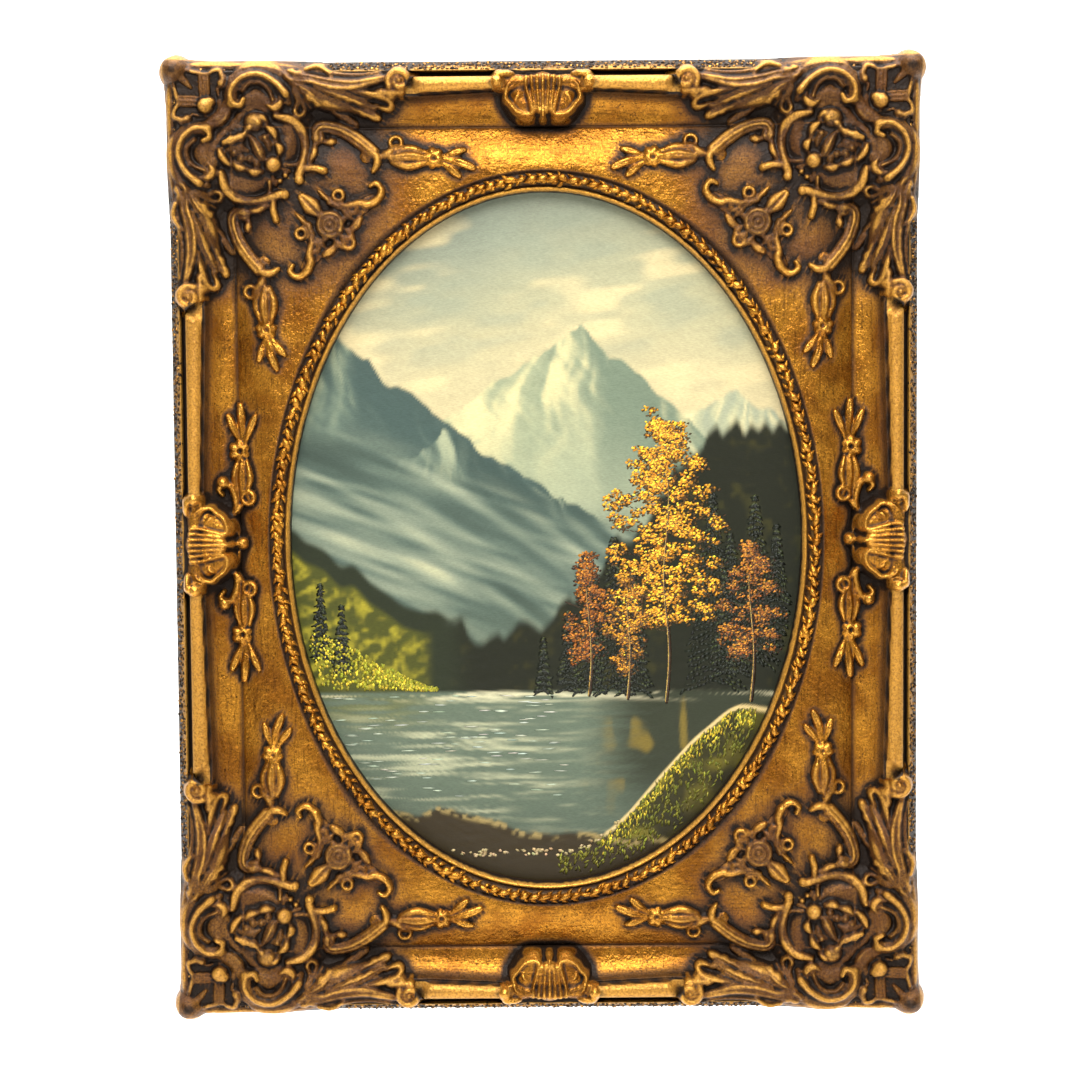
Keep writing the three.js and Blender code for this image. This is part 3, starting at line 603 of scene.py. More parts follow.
SCROLLS = [
    ([(18.6, 7.5), (18.8, 14), (19.4, 20)], 0.75, 2.4, dict(swell="even")),
    ([(20.9, 7.5), (21, 14), (21.2, 19)], 0.75, 2.7, dict(swell="even")),
    ([(23.2, 7.5), (23.4, 14), (23.2, 19.5)], 0.75, 2.4, dict(swell="even")),
    ([(34.6, 23.6), (33.4, 29), (30.4, 33.2), (24.6, 35.8)], 1.5, 3.8),
    ([(28.2, 14), (29.4, 20), (28.6, 26), (25.4, 31)], 1.2, 1.8),
    ([(26.6, 50.6), (27.6, 45), (31.3, 40), (37, 36.2), (40.6, 29.9), (46.4, 25.2)], 2.5, 2.6, dict(wave=0.1)),
    ([(43.5, 20.3), (41.5, 24), (37.1, 22.2), (36.4, 15.9), (39.9, 10.6), (45.1, 7.3), (51, 6.4), (57.5, 8.4),
     (63.3, 12.8), (67.4, 17.8)], 2.0, 9.4, dict(swell="club", seat=31.5)),
    ([(42.8, 15.6), (46.4, 11.7), (50.3, 10.8), (54.9, 12.3), (58.1, 15.9), (60.1, 21.1)],
     0.95, 5.8, dict(swell="even", seat=31)),
    ([(63.6, 18.4), (64.2, 22), (60.7, 25.2), (56.2, 23.2)], 2.1, 6.6),
    ([(45.6, 20.6), (50.3, 19), (55, 20.6)], 4.8, 4.2, dict(swell="even")),
    ([(46, 25), (50.3, 23.6), (55, 25)], 3.6, 2.4),
    # knot, looped leaf and broad leaf to the right of the scroll
    ([(66.6, 6.4), (70, 9.8), (75, 10.4)], 2.3, 7.6, dict(seat=30, wave=0.25)),
    ([(69, 4.6), (74, 6.4), (78, 5.6)], 2.2, 6.8, dict(seat=29.5, wave=0.25)),
    ([(71.2, 15.3), (73.4, 21.1), (71.8, 27), (74.1, 29.6), (77.2, 26.3), (75.1, 19.8), (71.8, 14.6)],
     1.05, 4.2, dict(swell="even")),
    ([(76.6, 17.6), (78.6, 21.2), (80.6, 25.2)], 1.4, 3.8),
    ([(70, 11.6), (77, 14.4), (83.4, 18.8), (89, 23.4)], 3.7, 7, dict(swell="drop", grooves=2, wave=0.14)),
    ([(78.7, 3.6), (85.3, 2.4), (91.1, 5.4), (94.4, 10)], 1.1, 6.6, dict(swell="even", seat=29)),
    ([(80, 6.4), (86, 6), (91, 9)], 2.6, 5, dict(seat=29)),
]
corner.boss((5.5, 5.5), 9.6, 22, seat=16.6)
corner.stroke([(5, 5), (12, 4.4), (21, 3.6)], 3.8, 7, swell="point", seat=24.5)
press_strokes(corner, RIM + SCROLLS)
corner.boss(seen([(68, 21.9)])[0], 2.0, 5)

# %% Long leaves and the volute where the rod begins
LEAVES = [
    ([(73, 8), (80.2, 8.6), (91.8, 11.6), (104, 12.8), (114, 11.4), (124, 9)],
     3.4, 8.4, dict(seat=30.5, grooves=1)),
    ([(74, 10.6), (82, 11.4), (92, 14.2), (104, 15.2), (113, 13.6)], 1.1, 9.4, dict(seat=30.5)),
    ([(76, 5), (88, 6), (99, 8), (110, 8), (121, 6)], 2.8, 5.6, dict(seat=29, grooves=1)),
    ([(84, 13), (92, 16), (104, 19.6), (116.8, 25)], 3.0, 8, dict(grooves=1, wave=0.08)),
    ([(104, 16.6), (113, 17.4), (123, 19.8), (126.6, 23.2), (124.6, 26), (117, 23.6)], 1.7, 6.6),
    ([(82, 14.6), (90, 18), (104, 23.4), (118.4, 30.4)], 3.2, 6.4, dict(swell="drop", grooves=1, wave=0.1)),
    ([(84, 20), (92, 25), (100, 30), (106, 34)], 2.2, 4, dict(swell="drop", grooves=1)),
]
UNDER_LEAVES = [
    ([(68, 9), (84, 11.5), (104, 14), (122, 14)], 8.2, 4.6, dict(seat=29, sharp=3)),
    ([(78, 14), (92, 19), (110, 25)], 5.2, 4.4, dict(sharp=3)),
    ([(36, 15), (42, 10), (52, 8.6), (62, 12), (67, 17)], 4.6, 4.6, dict(swell="even", seat=29.5)),
    ([(96, 80), (106, 82), (116, 76)], 4.4, 2.0),
    ([(112, 53), (128, 53), (150, 54)], 3.6, 2.0, dict(swell="even")),
]
press_strokes(corner, LEAVES + UNDER_LEAVES)
volute = seen([(131.4, 10.8)])[0]
corner.boss(volute, 7.4, 4.4, seat=30.5)
corner.ring(volute, 6.2, 2.2, 8.6, start=150, end=600, turns=0.66, seat=31)
corner.boss(volute, 2.3, 9.4, seat=31)
husk = [(volute[0] - 12, volute[1] + 6), (volute[0] - 5, volute[1] + 6), (volute[0] + 3, volute[1] + 5.4)]
corner.stroke(husk, 3.0, 6.4, seat=31, wave=0.2)
corner.boss((volute[0] + 6.4, volute[1] + 1.6), 5.2, 6.8, seat=31)

# %% Ribs that frame the boss
RIBS = [
    ([(62, 31), (70, 33.6), (75, 41.2), (75.6, 50), (73, 56.4), (66, 57)], 0.85, 3.4, dict(swell="even")),
    ([(61, 29.6), (69.6, 31.2), (75.6, 37), (77.6, 45), (76.6, 54), (73.6, 63)], 2.5, 5.6, dict(swell="club")),
    ([(82.6, 44), (82.4, 49.6), (79.6, 56)], 1.9, 5),
    ([(77, 59), (82.6, 58.9), (88, 60.4)], 1.95, 5, dict(swell="even")),
    ([(59, 64), (60.5, 68.3)], 0.75, 2.4, dict(swell="even")),
]
press_strokes(corner, RIBS)
corner.boss(seen([(73.8, 65.4)])[0], 2.9, 6.4)
corner.boss(seen([(66, 62.8)])[0], 1.8, 4.2)

# %% Spray of leaf, husk and flower on the ramp
SPRAY = [
    ([(84.4, 42), (84, 37.6), (88, 35.4), (98.3, 38), (107.7, 43.8), (115.4, 50.4)],
     3.8, 5.8, dict(swell="even", grooves=2, depth=0.4)),
    ([(83.6, 36.6), (82.4, 41.4), (84.4, 45)], 2.0, 5.6),
    ([(88, 44.6), (93.4, 43.9)], 2.2, 3.6, dict(swell="drop")),
    ([(113, 50.6), (117.4, 51.8), (118.2, 56.6), (115.8, 61)], 2.2, 6),
    ([(119.6, 53), (124.4, 51.4), (129, 46.8)], 2.5, 4.8),
    ([(126.6, 51.6), (135, 48.2), (145, 50.2)], 2.1, 4.4),
    ([(126, 53.6), (136, 53), (146, 53.6)], 3.0, 6.4, dict(grooves=1, depth=0.2)),
    ([(126.6, 56), (136, 58.2), (145, 56.8)], 2.5, 4.8),
    ([(155.4, 53), (161, 51), (167.6, 49.2)], 2.0, 3.8, dict(swell="drop", grooves=1, depth=0.55)),
    ([(156, 54.6), (164, 56), (172.6, 59.4)], 2.4, 4, dict(swell="drop", grooves=1, depth=0.55)),
    ([(155, 56.6), (159.6, 60), (164.6, 64)], 2.1, 3.6, dict(swell="drop", grooves=1, depth=0.55)),
]
press_strokes(corner, SPRAY)
corner.ring(seen([(128.6, 44.8)])[0], 3.3, 0.95, 3.8)
flower = seen([(150.2, 54)])[0]
corner.boss(flower, 6.4, 4.8, petals=7, cut=0.24, hollow=0.6)
corner.ring(flower, 2.2, 0.8, 4.6)

# %% What curls round the rose
ROSE = [
    ([(97, 80), (102, 80.4), (107.2, 79), (112.6, 79.6), (118, 77), (120.4, 72), (117.4, 67.6), (114, 69.2)],
     2.2, 5, dict(wave=0.05)),
    ([(100.4, 95), (104.6, 92.4), (108, 87.6)], 2.3, 4, dict(swell="drop", grooves=1)),
    ([(98, 92), (102, 95.8), (104, 100)], 1.9, 3.6, dict(swell="drop")),
    ([(98.6, 83.4), (103, 87.2)], 2.0, 3.8),
    ([(84.4, 71.4), (89, 76), (92.4, 79.4)], 1.3, 3),
    ([(90, 79), (94, 79.6), (98, 82.4)], 1.7, 3.6, dict(wave=0.1)),
]
press_strokes(corner, ROSE)
corner.ring(seen([(95.8, 74.4)])[0], 2.8, 1.0, 3.8)
corner.ring(seen([(103.8, 81.8)])[0], 2.6, 1.2, 4)
corner.boss(seen([(98.6, 88)])[0], 2.2, 4)

# %% Fold the half over the diagonal, and add what stands on it
BOSS_FOLDS = [
    ([(51.9, 28.8), (56.2, 32.8)], 1.7, 6.4),
    ([(45.4, 35.2), (44, 40), (39, 42.6), (32.4, 44.6)], 2.9, 9.6, dict(swell="drop", wave=0.16)),
    ([(34, 48.4), (40, 47.4), (45.6, 49.4)], 3.0, 6.6, dict(wave=0.25)),
    ([(46.6, 40.6), (50, 46), (53.6, 53.4)], 3.3, 8.8, dict(swell="drop", grooves=2, depth=0.2)),
    ([(56.2, 36), (59.6, 38.6), (61.2, 42.6)], 2.1, 7.2),
    ([(61.6, 45.4), (63.4, 48), (63, 51)], 1.9, 6.6),
    ([(45.4, 59.8), (49, 61.2), (52.8, 60.8)], 2.3, 6.4),
    ([(37.2, 55.6), (40.4, 58.4), (44.6, 59.2)], 2.1, 6.4),
    ([(29.2, 48.2), (31.2, 52.8), (34.6, 56.8)], 2.2, 6.6),
    ([(52, 42), (56.4, 44), (57.6, 48.6)], 2.2, 5.8, dict(wave=0.2)),
]
BOSS_SEAT = 30.5
BOSS_LUMPS = [
    (47.7, 45.9, 15.6, 3.4), (49.1, 33.4, 6.0, 7.4), (46.8, 36.6, 2.4, 8.6), (51.6, 33.6, 2.6, 8.8),
    (59.2, 56.8, 4.7, 8.4), (41.7, 53.4, 2.9, 6.4), (46.8, 53.6, 2.8, 6.8), (50.4, 56.6, 2.6, 6.2),
    (38, 50.4, 2.6, 6.8), (55.4, 42, 2.4, 7),
]


def on_diagonal(carving):
    """What stands on the diagonal, and the boss, which isn't alike on both sides of it."""
    carving.stroke([(5, 5), (10, 10), (15, 15)], 3.4, 5, swell="point", seat=30)
    carving.boss(seen([(21.5, 23.6)])[0], 4.7, 8.4, seat=31)
    carving.boss(seen([(23.8, 21.8)])[0], 3.4, 6.8, seat=31)
    for u, v, radius, lift in BOSS_LUMPS:
        carving.boss(seen([(u, v)])[0], radius, lift, seat=BOSS_SEAT)
    press_strokes(carving, BOSS_FOLDS, seat=BOSS_SEAT)
    carving.stroke(seen([(75.4, 75.4), (80, 80), (84.8, 84.8)]), 4.6, 6.4, grooves=1, depth=0.7)
    rose = seen([(91, 91)])[0]
    carving.boss(rose, 8.4, 3.2, petals=7, cut=0.14)
    carving.ring(rose, 6.3, 1.5, 5)
    carving.ring(rose, 3.6, 1.25, 5.6)
    carving.boss(rose, 2.0, 6.2)
    carving.boss((rose[0] + 5.4, rose[1] + 3), 2.3, 5.6)
    carving.ring(seen([(101.4, 101.4)])[0], 3.0, 1.2, 3.8)
    carving.stroke(seen([(96.5, 96.5), (101, 101)]), 2.2, 4)


corner.height = np.maximum(corner.height, corner.height.T)
on_diagonal(corner)
corner.cast()
corner.roughen(0.3, 11)
print("the corner stands", round(float(corner.height.max()), 1), "mm high")

# %% Make the four corners
CORNER_LIMIT = 86000


def top_left(u, v, height):
    """Places on the corner casting as lying millimetres."""
    return np.stack([-(HALF_WIDE - u), HALF_TALL - v, height], axis=1)


def mirrored(piece, name, flip_x, flip_z):
    """A copy turned over from left to right or from top to bottom, with its faces kept pointing out."""
    mesh = piece.data.copy()
    flat = np.empty(len(mesh.vertices) * 3)
    mesh.vertices.foreach_get("co", flat)
    points = flat.reshape(-1, 3)
    if flip_x:
        points[:, 0] *= -1
    if flip_z:
        points[:, 2] = 2 * CENTRE_Z - points[:, 2]
    mesh.vertices.foreach_set("co", points.ravel())
    if flip_x != flip_z:
        mesh.flip_normals()
    mesh.update()
    copy = bpy.data.objects.new(name, mesh)
    bpy.context.scene.collection.objects.link(copy)
    return copy


first = relief_solid("corner_ornament_top_left", corner, top_left, CORNER_LIMIT)
ornaments = [first]
MIRRORED = {"top_right": (True, False), "bottom_left": (False, True), "bottom_right": (True, True)}
for place, flips in MIRRORED.items():
    ornaments.append(mirrored(first, "corner_ornament_" + place, *flips))
print("one corner:", triangles(first), "triangles")

# %% [markdown]
# ## The ornament in the middle of each rail
# Here a fan of flutes between two smooth lobes stands over the rod, with a knobbly wing on either side
# that the rod runs into. On the two long rails a spray of flowers grows from it both ways.

# %% The middle ornaments
def centre_ground(half):
    """The plain frame round the middle of a rail: u runs along it from its middle."""
    def ground(u, v):
        x, y = (u, HALF_TALL - v) if half == HALF_WIDE else (HALF_WIDE - v, u)
        return np.where(v < 0, PAST_EDGE, ground_height(x, y))
    return ground


FLUTES = [
    ([(0, 7.4), (0, 14), (0, 29.4)], 1.2, 11.4, dict(swell="even")),
    ([(3.1, 7.4), (3.0, 14), (2.2, 27)], 1.15, 11.0, dict(swell="even")),
    ([(6.2, 7.6), (6.0, 13), (4.4, 25.4)], 1.15, 10.4, dict(swell="even")),
    ([(9.2, 8), (9.2, 13), (7.8, 19), (5.8, 27)], 1.2, 9.8, dict(swell="even")),
    ([(0, 13), (0, 18), (0, 26)], 8.4, 9.0, dict(swell="point", sharp=4)),
]
LOBES = [
    ([(10.4, 13.4), (12.8, 17), (11.6, 21.4), (8.8, 25.4)], 6.6, 7.4, dict(swell="even", seat=28, sharp=2.4)),
    ([(8.4, 11), (15, 10.4), (22, 10.8)], 4.6, 8.2, dict(swell="even", seat=28.5, sharp=2.4)),
    ([(15.4, 12.8), (19.6, 15.4), (20.6, 19.4), (18, 22.6), (14.6, 26.8), (9.8, 28.6), (5.6, 27.6), (4, 23.6)],
     1.5, 9.0, dict(swell="even", seat=28)),
    ([(11.4, 19), (14.4, 20.4), (15.4, 24)], 1.0, 9.4, dict(seat=28)),
    ([(17.6, 6.4), (22.6, 5.8), (27, 8)], 1.7, 9.6, dict(seat=28.5, wave=0.12)),
    ([(17.4, 13.6), (22, 14.4), (26.6, 13)], 2.0, 8.2, dict(seat=29, wave=0.15)),
    ([(15.8, 10), (19.4, 12.6), (20, 16.8)], 1.2, 10.2, dict(seat=28.5)),
]
SIDE_SPRAY = [
    ([(13, 31.6), (22, 34.4), (31, 32), (33.4, 27.2), (30, 24.6), (27.2, 26.6)], 2.3, 5.2),
    ([(4, 36), (9, 34.6), (14, 31.6)], 1.8, 4.4),
    ([(27.6, 36), (36, 33.4), (46, 35.2)], 1.9, 4.6),
    ([(27, 38), (36, 38), (46, 38)], 2.6, 5.6, dict(grooves=1, depth=0.2)),
    ([(27.6, 40), (36, 42.6), (46, 40.8)], 1.9, 4.6),
    ([(56, 37), (63, 34), (71, 30.5)], 2.2, 3.8, dict(swell="drop", grooves=1, depth=0.55)),
    ([(57, 38.4), (66, 38.4), (77, 37.4)], 2.4, 4, dict(swell="drop", grooves=1, depth=0.55)),
    ([(56, 40), (63, 42.6), (71, 46)], 2.1, 3.8, dict(swell="drop", grooves=1, depth=0.55)),
    ([(22, 43), (27, 41), (31, 39)], 1.6, 3.6),
]
# how far outwards the camera sees the high parts and the low ones, and what the high ones are bedded on
HIGH_PUSH, LOW_PUSH, HIGH_SEAT = 2.8, 1.2, 28.5
SHORT_LIMIT, LONG_LIMIT = 15000, 34000


def stands_high(points):
    """Whether a stroke is on the part that stands over the rod."""
    return min(v for _, v in points) < 17 and max(abs(u) for u, _ in points) < 28


def middle_carving(half, reach, deep, sprays):
    """The casting in the middle of a rail, with or without the sprays beside it."""
    carving = Carving((-reach, reach), (-OVERHANG, deep), centre_ground(half))
    for points, half_wide, lift, *manner in FLUTES + LOBES + (SIDE_SPRAY if sprays else []):
        high = stands_high(points)
        push, manner = (HIGH_PUSH, {"seat": HIGH_SEAT, **dict(*manner)}) if high else (LOW_PUSH, dict(*manner))
        for way in (1, -1):
            carving.stroke([(way * u, v + push) for u, v in points], half_wide, lift, **manner)
    for side in (-1, 1):
        carving.boss((side * 25.4, 13.6), 5.4, 14.4, seat=28)
        carving.stroke([(side * 17, 9), (side * 23.4, 9.4), (side * 29, 13)], 3.0, 12.4, seat=28, wave=0.14)
    carving.boss((0, 29.8 + HIGH_PUSH), 2.8, 7, seat=26)
    if sprays:
        for side in (-1, 1):
            carving.boss((side * 51.6, 38), 6.9, 5, petals=6, cut=0.24, hollow=0.6)
            carving.ring((side * 51.6, 38), 2.3, 0.8, 4.4)
            carving.boss((side * 34, 28), 4.0, 6.6)
            carving.ring((side * 25.6, 42.4), 3.5, 1.3, 5)
            carving.stroke([(side * 15.6, 31), (side * 18.4, 36), (side * 22.6, 39.4)], 1.6, 4.8)
        carving.boss((0, 39), 4.0, 6.2)
        carving.stroke([(0, 28), (0, 39)], 2.1, 7.4, swell="even")
    carving.cast(gap=0.5)
    carving.roughen(0.2, 21)
    return carving


short_middle = middle_carving(HALF_WIDE, 34, 40, False)
long_middle = middle_carving(HALF_TALL, 80, 50, True)
top_piece = relief_solid("middle_ornament_top", short_middle,
                         lambda u, v, h: np.stack([u, HALF_TALL - v, h], axis=1), SHORT_LIMIT)
right_piece = relief_solid("middle_ornament_right", long_middle,
                           lambda u, v, h: np.stack([HALF_WIDE - v, u, h], axis=1), LONG_LIMIT)
ornaments += [top_piece, mirrored(top_piece, "middle_ornament_bottom", False, True)]
ornaments += [right_piece, mirrored(right_piece, "middle_ornament_left", True, False)]
print("middle ornaments:", triangles(top_piece), "and", triangles(right_piece), "triangles")

# %% [markdown]
# ## A helper for node trees
# Materials and Geometry Nodes are both trees of nodes. One small function adds a node, gives it its
# settings and links its inputs, so that each tree below reads as a list of steps.

# %% Add a node
def add(tree, kind, settings=None, links=None):
    """Add a node. settings go to its sockets or its options by name, and links join sockets to outputs."""
    node = tree.nodes.new(kind)
    for key, value in (settings or {}).items():
        if isinstance(key, str) and hasattr(node, key):
            setattr(node, key, value)
        else:
            node.inputs[key].default_value = value
    join(tree, node, links or {})
    return node


def join(tree, node, links):
    """Link inputs of a node, by name, to sockets or to the first outputs of other nodes."""
    for key, source in links.items():
        tree.links.new(source if isinstance(source, bpy.types.NodeSocket) else source.outputs[0], node.inputs[key])


def geometry_tree(name, inputs):
    """An empty Geometry Nodes tree with named inputs, and its input and output nodes."""
    tree = bpy.data.node_groups.new(name, "GeometryNodeTree")
    tree.interface.new_socket("Geometry", in_out="INPUT", socket_type="NodeSocketGeometry")
    for label, kind in inputs.items():
        tree.interface.new_socket(label, in_out="INPUT", socket_type=kind)
    tree.interface.new_socket("Geometry", in_out="OUTPUT", socket_type="NodeSocketGeometry")
    return tree, tree.nodes.new("NodeGroupInput"), tree.nodes.new("NodeGroupOutput")


def realize(tree, laid, finish, result):
    """End a tree: make the instances real and give them their material."""
    real = add(tree, "GeometryNodeRealizeInstances", {}, {"Geometry": laid})
    done = add(tree, "GeometryNodeSetMaterial", {"Material": finish}, {"Geometry": real})
    join(tree, result, {0: done})


def random_vector(tree, low_end, high_end, seed=None):
    """A random vector for each point."""
    return add(tree, "FunctionNodeRandomValue", {"data_type": "FLOAT_VECTOR", 0: low_end, 1: high_end},
               {"Seed": seed} if seed else {})


def grow(piece, tree, values):
    """Run a tree on a piece with values for its named inputs, and keep the result as its mesh."""
    modifier = piece.modifiers.new(tree.name, "NODES")
    modifier.node_group = tree
    for item in tree.interface.items_tree:
        if item.in_out == "INPUT" and item.name in values:
            modifier[item.identifier] = values[item.name]
    return settled(piece)

# %% [markdown]
# ## The pebbled edge
# The steep outer edge of the real frame was left as a crust of small stones in the casting, gilded on top, and the
# moulding between the stones is painted dark, as wax and as the shade that falls there. The crust is scattered, not
# drawn: a strip is laid on the edge, a Poisson distribution places points on it that never crowd, and each point
# gets a small lump, turned and stretched at random.

# %% Strip along the edge
STONE_SPACING, STONE_RADIUS = 2.3, 1.45
STRIP_ROWS = ((1.4, 17.2), (3.2, 23.6), (6.2, 31.0))


def strip_along_edge():
    """A strip just under the face of the edge, for the stones to lie on."""
    columns = len(col_a)
    rows = np.array([on_rectangle(s, h) for s, h in STRIP_ROWS])
    faces = [f for f in ring_faces(3, columns) if max(f) - min(f) < 2 * columns]
    return make_piece("pebbled_edge", rows.reshape(-1, 3), faces)


def rough_lump():
    """One stone: a ball of twenty faces with its corners pushed in and out."""
    lump = bmesh.new()
    bmesh.ops.create_icosphere(lump, subdivisions=1, radius=1.0)
    draw = np.random.default_rng(5)
    for corner_point in lump.verts:
        corner_point.co *= draw.uniform(0.78, 1.15)
    mesh = bpy.data.meshes.new("stone")
    lump.to_mesh(mesh)
    lump.free()
    return bpy.data.objects.new("stone", mesh)


def stone_tree(stone, finish):
    """Scatter stones over a mesh, never closer than the spacing."""
    tree, given, result = geometry_tree("scatter_stones", {
        "Spacing": "NodeSocketFloat", "Stone size": "NodeSocketFloat", "Seed": "NodeSocketInt"})
    density = add(tree, "ShaderNodeMath", {"operation": "DIVIDE", 0: 1.0},
                  {1: add(tree, "ShaderNodeMath", {"operation": "POWER", 1: 2.0}, {0: given.outputs["Spacing"]})})
    points = add(tree, "GeometryNodeDistributePointsOnFaces", {"distribute_method": "POISSON"}, {
        "Mesh": given.outputs["Geometry"], "Distance Min": given.outputs["Spacing"],
        "Density Max": density, "Seed": given.outputs["Seed"]})
    size = random_vector(tree, (0.6, 0.6, 0.6), (1.25, 1.25, 1.25), given.outputs["Seed"])
    scaled = add(tree, "ShaderNodeVectorMath", {"operation": "SCALE"},
                 {0: size, "Scale": given.outputs["Stone size"]})
    turn = random_vector(tree, (0, 0, 0), (6.2, 6.2, 6.2))
    source = add(tree, "GeometryNodeObjectInfo", {"Object": stone})
    laid = add(tree, "GeometryNodeInstanceOnPoints", {}, {
        "Points": points.outputs["Points"], "Instance": source.outputs["Geometry"],
        "Rotation": turn.outputs[0], "Scale": scaled.outputs[0]})
    realize(tree, laid, finish, result)
    return tree


crusted = bpy.data.materials.new("bronzed_stone_crust")
edge, stone = strip_along_edge(), rough_lump()
grow(edge, stone_tree(stone, crusted), {"Spacing": STONE_SPACING * MM, "Stone size": STONE_RADIUS * MM, "Seed": 7})
bpy.data.objects.remove(stone)
print("pebbled edge:", triangles(edge), "triangles")

# %% [markdown]
# ## The border of leaves round the oval
# Round the opening runs a band of small leaves, each lying over the next. One unit is a long leaf with two
# leaflets beside it. Geometry Nodes put it on the oval at even steps, turned to follow the curve. Three
# different units, picked at random, keep the band as uneven as a carved one.

# %% One leaf unit, in three kinds
UNIT_LONG, LEAF_MIDDLE, LEAF_HEIGHT = 5.8, 7.2, 26.6


def lobe(centre, size, turn, bend, rings=6, sides=8):
    """A closed drop-shaped dome: points and faces. It lies along x and tapers to its tip."""
    points = []
    for i in range(rings + 1):
        t = i / rings
        wide = size[1] * math.sin(math.pi * min(max(t, 0.03), 0.97) ** 0.8)
        for k in range(sides):
            a = 2 * math.pi * k / sides
            x = size[0] * (t - 0.5) * 2
            y = wide * math.cos(a) + bend * (1 - (2 * t - 1) ** 2)
            tall = size[2] * math.sin(math.pi * min(max(t, 0.05), 0.95) ** 0.7)
            z = tall * math.sin(a) * (1.0 if math.sin(a) > 0 else 0.5)
            c, s = math.cos(turn), math.sin(turn)
            points.append((centre[0] + c * x - s * y, centre[1] + s * x + c * y, centre[2] + z))
    faces = [(i * sides + k, (i + 1) * sides + k, (i + 1) * sides + (k + 1) % sides, i * sides + (k + 1) % sides)
             for i in range(rings) for k in range(sides)]
    return points, faces + [tuple(range(sides)), tuple(rings * sides + k for k in range(sides))[::-1]]


UNITS = [
    [((0, -0.4, 0.2), (5.4, 2.5, 3.8), 0.3, 0.8), ((2.0, 2.5, 0.0), (2.9, 1.5, 3.0), 0.9, 0.3),
     ((-1.8, -2.7, 0.0), (2.7, 1.4, 2.8), -0.5, 0.3)],
    [((0, 0.2, 0.3), (5.6, 2.3, 3.5), -0.12, -0.9), ((1.0, 2.7, 0.0), (3.1, 1.4, 3.1), 0.5, 0.4),
     ((2.4, -2.3, 0.0), (2.5, 1.5, 2.9), -0.85, 0)],
    [((0, 0.3, 0.1), (5.2, 2.7, 3.6), 0.4, 0.4), ((-2.0, 2.4, 0.0), (2.6, 1.5, 3.1), 0.4, 0.1),
     ((0.6, -2.7, 0.0), (3.0, 1.3, 2.7), -0.35, 0.4)],
]


def leaf_unit(number, lobes):
    """One unit as an object that isn't in the scene itself."""
    points, faces = [], []
    for centre, size, turn, bend in lobes:
        p, f = lobe(centre, size, turn, bend)
        faces += [tuple(i + len(points) for i in face) for face in f]
        points += p
    mesh = bpy.data.meshes.new(f"leaf_{number}")
    mesh.from_pydata([(x * MM, y * MM, z * MM) for x, y, z in points], [], faces)
    work = bmesh.new()
    work.from_mesh(mesh)
    bmesh.ops.recalc_face_normals(work, faces=work.faces)
    bmesh.ops.triangulate(work, faces=[f for f in work.faces if len(f.verts) > 4])
    work.to_mesh(mesh)
    work.free()
    return bpy.data.objects.new(f"leaf_{number}", mesh)


# %% Lay the leaves round the oval
def oval_path(offset, height, count=720):
    """The middle line of the leaf border, as a closed wire of points with their direction."""
    t = np.linspace(0, 2 * np.pi, count, endpoint=False)
    a, b = SIGHT_A + offset, SIGHT_B + offset
    points = np.stack([a * np.cos(t), b * np.sin(t), np.full(count, height)], axis=1)
    mesh = bpy.data.meshes.new("leaf_border")
    mesh.from_pydata(upright(points).tolist(), [(i, (i + 1) % count) for i in range(count)], [])
    piece = bpy.data.objects.new("leaf_border", mesh)
    bpy.context.scene.collection.objects.link(piece)
    length = np.hypot(*np.diff(np.concatenate([points, points[:1]])[:, :2], axis=0).T).sum()
    return piece, length


def border_tree(units, finish):
    """Lay units along a closed wire at even steps, turned to follow it."""
    tree, given, result = geometry_tree("lay_leaves", {"Leaves": "NodeSocketInt", "Seed": "NodeSocketInt"})
    curve = add(tree, "GeometryNodeMeshToCurve", {}, {"Mesh": given.outputs["Geometry"]})
    even = add(tree, "GeometryNodeResampleCurve", {}, {"Curve": curve, "Count": given.outputs["Leaves"]})
    tangent = add(tree, "GeometryNodeInputTangent")
    facing = add(tree, "FunctionNodeAlignRotationToVector", {"axis": "Z", "Vector": (0, -1, 0)})
    turned = add(tree, "FunctionNodeAlignRotationToVector", {"axis": "X", "pivot_axis": "Z"},
                 {"Rotation": facing, "Vector": tangent})
    kinds = add(tree, "GeometryNodeGeometryToInstance")
    for unit in units:
        source = add(tree, "GeometryNodeObjectInfo", {"Object": unit, "As Instance": True})
        tree.links.new(source.outputs["Geometry"], kinds.inputs[0])
    pick = add(tree, "FunctionNodeRandomValue", {"data_type": "INT", 4: 0, 5: len(units) - 1},
               {"Seed": given.outputs["Seed"]})
    size = random_vector(tree, (0.66, 0.66, 0.66), (0.98, 1.05, 1.0), given.outputs["Seed"])
    laid = add(tree, "GeometryNodeInstanceOnPoints", {"Pick Instance": True}, {
        "Points": even, "Instance": kinds, "Instance Index": pick.outputs[2], "Rotation": turned, "Scale": size})
    realize(tree, laid, finish, result)
    return tree


gilded = bpy.data.materials.new("burnished_gilding_over_bole")
border, round_length = oval_path(LEAF_MIDDLE, LEAF_HEIGHT)
leaf_units = [leaf_unit(n, lobes) for n, lobes in enumerate(UNITS)]
leaf_count = int(round_length / UNIT_LONG)
grow(border, border_tree(leaf_units, gilded), {"Leaves": leaf_count, "Seed": 4})
for spare in leaf_units:
    bpy.data.objects.remove(spare)
print("leaf border:", leaf_count, "leaves,", triangles(border), "triangles")
